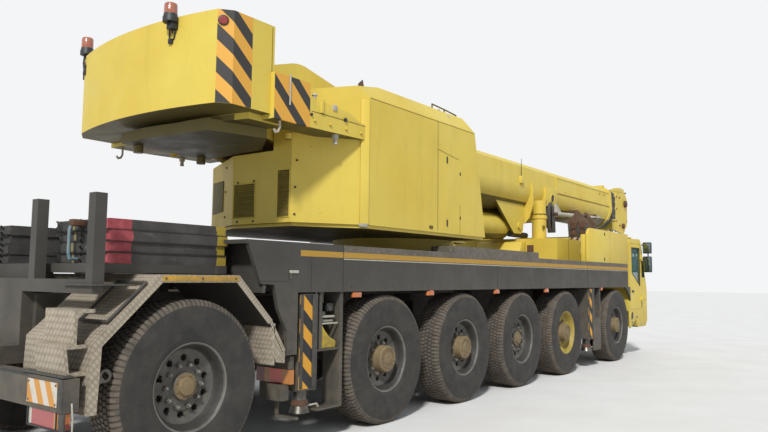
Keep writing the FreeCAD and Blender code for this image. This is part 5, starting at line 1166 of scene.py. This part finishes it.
print("making the cabs' fittings")
cabSide = 1.4805
sealLoops = {
    "quarter": [(11.62, 1.62), (11.80, 1.62), (11.66, 2.0), (11.62, 2.26), (11.62, 1.62)],
    "door": [(10.96, 1.70), (11.48, 1.43), (11.48, 2.22), (10.96, 2.22), (10.96, 1.70)],
}
makeFitting("cab_side_panel", "carrier", ["cab", "black", "deck", "seam"], {
    "plates": [(atSide(1.442, [(10.8, 0.945), (11.19, 0.945), (11.26, 0.762), (10.8, 0.575)]), (0, 0.036, 0),
                0.006, 0),
               (atSide(1.47, [(10.45, 1.415), (10.8, 1.415), (10.8, 1.13), (10.72, 1.23), (10.6, 1.345)]),
                (0, 0.026, 0), 0.004, 2)],
    "rings": [((10.92, 1.478, 0.83), (0, 1, 0), [(0.0, 0.0), (0.078, 0.0), (0.078, 0.003), (0.0, 0.003)], 24,
               1),
              ((10.92, 1.478, 0.83), (0, 1, 0),
               [(0.078, 0.0), (0.09, 0.0), (0.088, 0.006), (0.078, 0.006), (0.078, 0.0)], 24, 0)],
    "blocks": [((11.2, 1.477, 0.775), (11.27, 1.484, 0.805), 0.003, 1),
               ((10.9, 1.477, 0.675), (10.96, 1.4815, 0.7), 0.003, 1),
               ((11.6, 1.479, 1.125), (11.9, 1.4815, 1.131), 0.0, 3),
               ((10.8, 1.479, 0.935), (10.875, 1.4815, 0.941), 0.0, 3)],
}, sides=(1, -1))
makeFitting("cab_seals", "carrier", ["seal", "cab", "black", "steel"], {
    "pipes": [([(x, cabSide - 0.006, z) for x, z in sealLoops["quarter"]], 0.011, 0)],
    "blocks": [((11.572, cabSide - 0.002, 0.98), (11.6, cabSide + 0.006, 1.09), 0.003, 2),
               ((11.1, 1.3, 2.425), (11.3, 1.38, 2.455), 0.012, 1)],
    "rings": [((11.936, 1.23, 0.86), (1, 0, 0),
               [(0.088, -0.02), (0.112, -0.02), (0.114, 0.0), (0.104, 0.014), (0.088, 0.006)], 32, 3)],
}, sides=(1, -1))
for side, out in (("r", -1), ("l", 1)):
    doorBody = "cab_door_" + side
    makeFitting("door_seal_" + side, doorBody, ["seal", "black", "steel"], {
        "pipes": [([(x, out * (cabSide - 0.004), z) for x, z in sealLoops["door"]], 0.011, 0)],
        "blocks": [((10.93, out * 1.479, 1.30), (11.05, out * 1.490, 1.345), 0.006, 1)],
        "rods": [((10.95, out * 1.500, 1.322), (11.04, out * 1.500, 1.322), 0.008, None, 2)],
    })
    pane = bmesh.new()
    addPlate(pane, [at(x, out * 1.462, z) for x, z in sealLoops["door"][:4]], Vector((0, -out * 0.006, 0)), 0.0)
    finishPiece("door_pane_" + side, pane, doorBody, ["glass"])
frontSlope = (11.88 - 11.56) / (2.42 - 1.56)
sillX = 11.858 - 0.06 * frontSlope + 0.012
makeFitting("cab_front_fittings", "carrier", ["seal", "black", "steel", "pale", "cab"], {
    "pipes": [([(sillX, -1.39, 1.622), (sillX, 1.39, 1.622), (11.606, 1.39, 2.318), (11.606, -1.39, 2.318),
                (sillX, -1.39, 1.622)], 0.013, 0),
              ([(11.9, -0.2, 1.56), (11.86, -0.62, 1.7), (11.8, -0.66, 1.86)], 0.008, 2),
              ([(11.9, 0.75, 1.56), (11.86, 0.33, 1.7), (11.8, 0.29, 1.86)], 0.008, 2)],
    "rods": [((11.862, y, 1.65), (11.765, y, 1.95), 0.01, None, 1) for y in (-0.64, 0.31)],
    "blocks": [((11.948, -0.62, 0.98 + 0.055 * index), (11.962, 0.62, 1.005 + 0.055 * index), 0.004, 1)
               for index in range(5)]
              + [((11.948, -0.26, 0.8), (11.958, 0.26, 0.91), 0.003, 3),
                 ((11.94, -1.44, 0.66), (11.985, 1.44, 0.7), 0.01, 1)],
})
mirrorMesh = bmesh.new()
for side in (-1, 1):
    addPipe(mirrorMesh, [at(11.66, side * 1.47, 2.30), at(11.70, side * 1.60, 2.30), at(11.70, side * 1.60, 1.80),
                         at(11.70, side * 1.47, 1.80)], 0.013)
    for low, high in ((1.72, 2.06), (2.12, 2.36)):
        addBlock(mirrorMesh, at(11.64, side * 1.50, low), at(11.715, side * 1.68, high), 0.02)
        addBlock(mirrorMesh, at(11.634, side * 1.515, low + 0.02), at(11.642, side * 1.665, high - 0.02), 0.002, 1)
mirrorPiece = finishPiece("cab_mirrors", mirrorMesh, "carrier", ["black", "mirror"])
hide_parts("mirrors")


# Seats: crowned cushions with two sewn channels, each on a frame, with the dash and the steering wheel

cushion = {"rows": 10, "crown": 0.032, "pull": 0.012, "channel": 0.010}


def addCushion(mesh, low, high, turn=0.0, pivot=None):
    # a padded block: its faces swell, its sides pull in between the corners, and seams cross its top
    size = [high[index] - low[index] for index in range(3)]
    centre = Vector([(high[index] + low[index]) / 2 for index in range(3)])
    made = bmesh.ops.create_cube(mesh, size=2.0)
    edges = list({edge for vert in made["verts"] for edge in vert.link_edges})
    bmesh.ops.subdivide_edges(mesh, edges=edges, cuts=cushion["rows"], use_grid_fill=True)
    verts = list(mesh.verts)
    thin = size.index(min(size))
    wide = [index for index in range(3) if index != thin]
    for vert in verts:
        u, v = vert.co[wide[0]], vert.co[wide[1]]
        swell = (1.0 - u ** 4) * (1.0 - v ** 4)
        seams = sum(math.exp(-((v - line) / 0.06) ** 2) for line in (-0.36, 0.36))
        lift = (cushion["crown"] - cushion["channel"] * seams) * swell * (1.0 if vert.co[thin] > 0 else 0.2)
        shape = Vector((0.0, 0.0, 0.0))
        for index in wide:
            other = wide[1] if index == wide[0] else wide[0]
            rounded = 1.0 - 0.10 * abs(vert.co[other]) ** 6 - 0.06 * abs(vert.co[thin]) ** 4
            shape[index] = vert.co[index] * (size[index] / 2) * rounded
            if abs(vert.co[index]) > 0.9:
                shape[index] -= math.copysign(cushion["pull"], vert.co[index]) * (1.0 - vert.co[other] ** 2)
        shape[thin] = vert.co[thin] * (size[thin] / 2) * (1.0 - 0.22 * max(abs(u), abs(v)) ** 8)
        shape[thin] += math.copysign(lift, vert.co[thin])
        vert.co = centre + shape
    if turn:
        bmesh.ops.rotate(mesh, cent=pivot, matrix=Matrix.Rotation(turn, 3, "Y"), verts=verts)


def makeSeat(name, body, x, y, z, replaced=None):
    parts = {"cushion": ((x - 0.06, y - 0.245, z + 0.255), (x + 0.46, y + 0.245, z + 0.36), 0.0),
             "back": ((x - 0.045, y - 0.235, z + 0.40), (x + 0.055, y + 0.235, z + 0.95), -0.07)}
    for part, (low, high, turn) in parts.items():
        mesh = bmesh.new()
        addCushion(mesh, at(*low), at(*high), turn, at(x, y, z + 0.4))
        piece = finishPiece(name + "_" + part, mesh, body, ["cloth"], 60.0)
        if replaced:
            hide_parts(replaced)


cabFloor = 1.01
seatPlaces = {"driver_seat": 0.70, "mate_seat": -0.70}
for name, y in seatPlaces.items():
    makeSeat(name, "carrier", 10.98, y, cabFloor, "cab_interior")
makeSeat("crane_seat", "superstructure", 5.42, 1.025, 2.176)
insideMesh = bmesh.new()
for y in seatPlaces.values():
    addBlock(insideMesh, at(11.0, y - 0.16, cabFloor), at(11.34, y + 0.16, cabFloor + 0.10), 0.01)
    addRod(insideMesh, at(11.16, y, cabFloor + 0.08), at(11.16, y, cabFloor + 0.22), 0.09)
    addBlock(insideMesh, at(10.96, y - 0.21, cabFloor + 0.20), at(11.40, y + 0.21, cabFloor + 0.255), 0.01)
addPlate(insideMesh,
         [at(11.64, -1.375, cabFloor), at(11.83, -1.375, cabFloor), at(11.815, -1.375, 1.49),
          at(11.68, -1.375, 1.53), at(11.6, -1.375, 1.52), at(11.565, -1.375, 1.4)], Vector((0, 2.75, 0)),
         0.015)
wheelAxis = Vector((-0.7071, 0.0, 0.7071))
wheelPlace = at(11.428, 0.70, 1.632)
addRod(insideMesh, at(11.62, 0.70, 1.44), wheelPlace, 0.032)
circle = [(0.208 + 0.014 * math.cos(math.radians(angle)), 0.014 * math.sin(math.radians(angle)))
          for angle in range(0, 360, 45)]
addRing(insideMesh, wheelPlace, wheelAxis, circle, 40, closed=True, material=1)
for angle in (0.0, 120.0, 240.0):
    spoke = Matrix.Rotation(math.radians(angle), 3, wheelAxis) @ Vector((0.0, 1.0, 0.0))
    addRod(insideMesh, wheelPlace, wheelPlace + spoke * 0.2, 0.012, 0.009, material=1)
addRing(insideMesh, wheelPlace, wheelAxis,
        [(0.0, -0.02), (0.045, -0.02), (0.05, 0.0), (0.04, 0.018), (0.0, 0.02)], 24, material=1)
for y in (0.50, 0.62, 0.78, 0.90):
    addRing(insideMesh, at(11.6, y, 1.5), (-0.3, 0.0, 0.95),
            [(0.0, 0.0), (0.045, 0.0), (0.045, 0.012), (0.038, 0.016), (0.0, 0.01)], 20, material=1)
inside = finishPiece("dash_and_wheel", insideMesh, "carrier", ["trim", "black"])
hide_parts("cab_interior")


# Crane cab: seals, wiper, rails and the operator's levers

craneSlope = (6.74 - 6.54) / (3.54 - 2.48)
craneSillX = 6.718 - 0.08 * craneSlope + 0.012
makeFitting("crane_cab_seals", "superstructure", ["seal", "black", "steel", "pale"], {
    "pipes": [([(craneSillX, 0.7, 2.56), (craneSillX, 1.37, 2.56), (6.545, 1.37, 3.44), (6.545, 0.7, 3.44),
                (craneSillX, 0.7, 2.56)], 0.012, 0),
              (atSide(0.616, [(5.4, 2.7), (6.48, 2.64), (6.38, 3.4), (5.4, 3.4), (5.4, 2.7)]), 0.012, 0),
              ([(5.046, 0.74, 2.8), (5.046, 1.33, 2.8), (5.046, 1.33, 3.4), (5.046, 0.74, 3.4),
                (5.046, 0.74, 2.8)], 0.012, 0),
              (atSide(0.7, [(5.12, 3.55), (5.12, 3.6), (6.4, 3.585), (6.4, 3.53)]), 0.01, 3),
              (atSide(1.37, [(5.12, 3.55), (5.12, 3.6), (6.4, 3.585), (6.4, 3.53)]), 0.01, 3),
              ([(6.7, 1.03, 2.5), (6.725, 0.9, 2.62), (6.7, 0.86, 2.8)], 0.007, 2)],
    "rods": [((6.722, 0.87, 2.62), (6.64, 0.87, 3.05), 0.01, None, 1),
             ((5.75, 0.8, 2.24), (5.8, 0.8, 2.62), 0.012, 0.01, 1),
             ((5.8, 0.8, 2.62), (5.8, 0.8, 2.68), 0.022, 0.018, 1),
             ((5.75, 1.27, 2.24), (5.8, 1.27, 2.62), 0.012, 0.01, 1),
             ((5.8, 1.27, 2.62), (5.8, 1.27, 2.68), 0.022, 0.018, 1)],
    "blocks": [((5.4, 0.74, 2.24), (5.85, 0.84, 2.55), 0.02, 1),
               ((5.4, 1.23, 2.24), (5.85, 1.33, 2.55), 0.02, 1),
               ((6.38, 0.75, 2.24), (6.5, 1.3, 2.52), 0.02, 1)],
})
craneDoorLoop = [(5.41, 2.70), (6.13, 2.64), (6.13, 3.36), (5.41, 3.36), (5.41, 2.70)]
makeFitting("crane_door_seal", "crane_cab_door", ["seal", "black", "steel"], {
    "pipes": [([(x, 1.451, z) for x, z in craneDoorLoop], 0.011, 0)],
    "blocks": [((6.06, 1.449, 2.48), (6.17, 1.462, 2.53), 0.006, 1)],
    "rods": [((6.075, 1.475, 2.505), (6.155, 1.475, 2.505), 0.008, None, 2)],
})
cranePane = bmesh.new()
addPlate(cranePane, [at(x, 1.438, z) for x, z in craneDoorLoop[:4]], Vector((0, -0.006, 0)), 0.0)
finishPiece("crane_door_pane", cranePane, "crane_cab_door", ["glass"])


# Camera, light and floor

print("setting the camera, lights and floor")
view = {"place": (-3.471, -5.944, 1.557), "yaw": 37.0, "pitch": 5.09, "roll": 0.6, "focalPixels": 687.68,
        "imageWidth": 768, "sensor": 36.0}
cameraData = bpy.data.cameras.new("photoCamera")
cameraData.sensor_width = view["sensor"]
cameraData.lens = view["focalPixels"] * view["sensor"] / view["imageWidth"]
cameraData.clip_end = 200.0
camera = bpy.data.objects.new("photoCamera", cameraData)
bpy.context.scene.collection.objects.link(camera)
bpy.context.scene.camera = camera
turn = (Matrix.Rotation(math.radians(view["yaw"] - 90.0), 4, "Z")
        @ Matrix.Rotation(math.radians(90.0 + view["pitch"]), 4, "X")
        @ Matrix.Rotation(math.radians(view["roll"]), 4, "Z"))
camera.matrix_world = Matrix.Translation(at(*view["place"])) @ turn

studio = {"sky": "#dfe8f2", "skyPower": 0.60, "keyPower": 3.1, "keyTurn": (50.0, 0.0, -62.0), "keyAngle": 6.0,
          "backdrop": "#f4f5f6", "floor": "#e4e2de", "worn": "#dcd9d4", "floorHalf": 90.0}
world = bpy.data.worlds.new("studio")
world.use_nodes = True
bpy.context.scene.world = world
world.node_tree.nodes.clear()
skyNode = addNode(world, "ShaderNodeBackground", {"Color": hexColor(studio["sky"]), "Strength": studio["skyPower"]})
backdropNode = addNode(world, "ShaderNodeBackground", {"Color": hexColor(studio["backdrop"]), "Strength": 1.0})
seen = addNode(world, "ShaderNodeLightPath")
direct = addNode(world, "ShaderNodeMath", {0: (seen, "Is Camera Ray"), 1: (seen, "Is Glossy Ray")},
                 operation="MAXIMUM")
shown = addNode(world, "ShaderNodeMath", {0: (direct, 0), 1: (seen, "Is Transmission Ray")}, operation="MAXIMUM")
mixed = addNode(world, "ShaderNodeMixShader", {0: (shown, 0), 1: (skyNode, 0), 2: (backdropNode, 0)})
addNode(world, "ShaderNodeOutputWorld", {0: (mixed, 0)})

keyData = bpy.data.lights.new("key", "SUN")
keyData.energy = studio["keyPower"]
keyData.angle = math.radians(studio["keyAngle"])
key = bpy.data.objects.new("key", keyData)
bpy.context.scene.collection.objects.link(key)
key.rotation_euler = [math.radians(angle) for angle in studio["keyTurn"]]

floorMesh = bmesh.new()
bmesh.ops.create_grid(floorMesh, x_segments=1, y_segments=1, size=studio["floorHalf"])
floorData = bpy.data.meshes.new("floor")
floorMesh.to_mesh(floorData)
floorMesh.free()
floor = bpy.data.objects.new("floor", floorData)
bpy.context.scene.collection.objects.link(floor)
floorMat, floorPlace = newMaterial("paleFloor")
floorColor = laidOver(floorMat, hexColor(studio["floor"]), hexColor(studio["worn"]),
                      blotches(floorMat, floorPlace, 900, 0.3, 0.7))
floorData.materials.append(closeMaterial(floorMat, floorColor, 0.9))
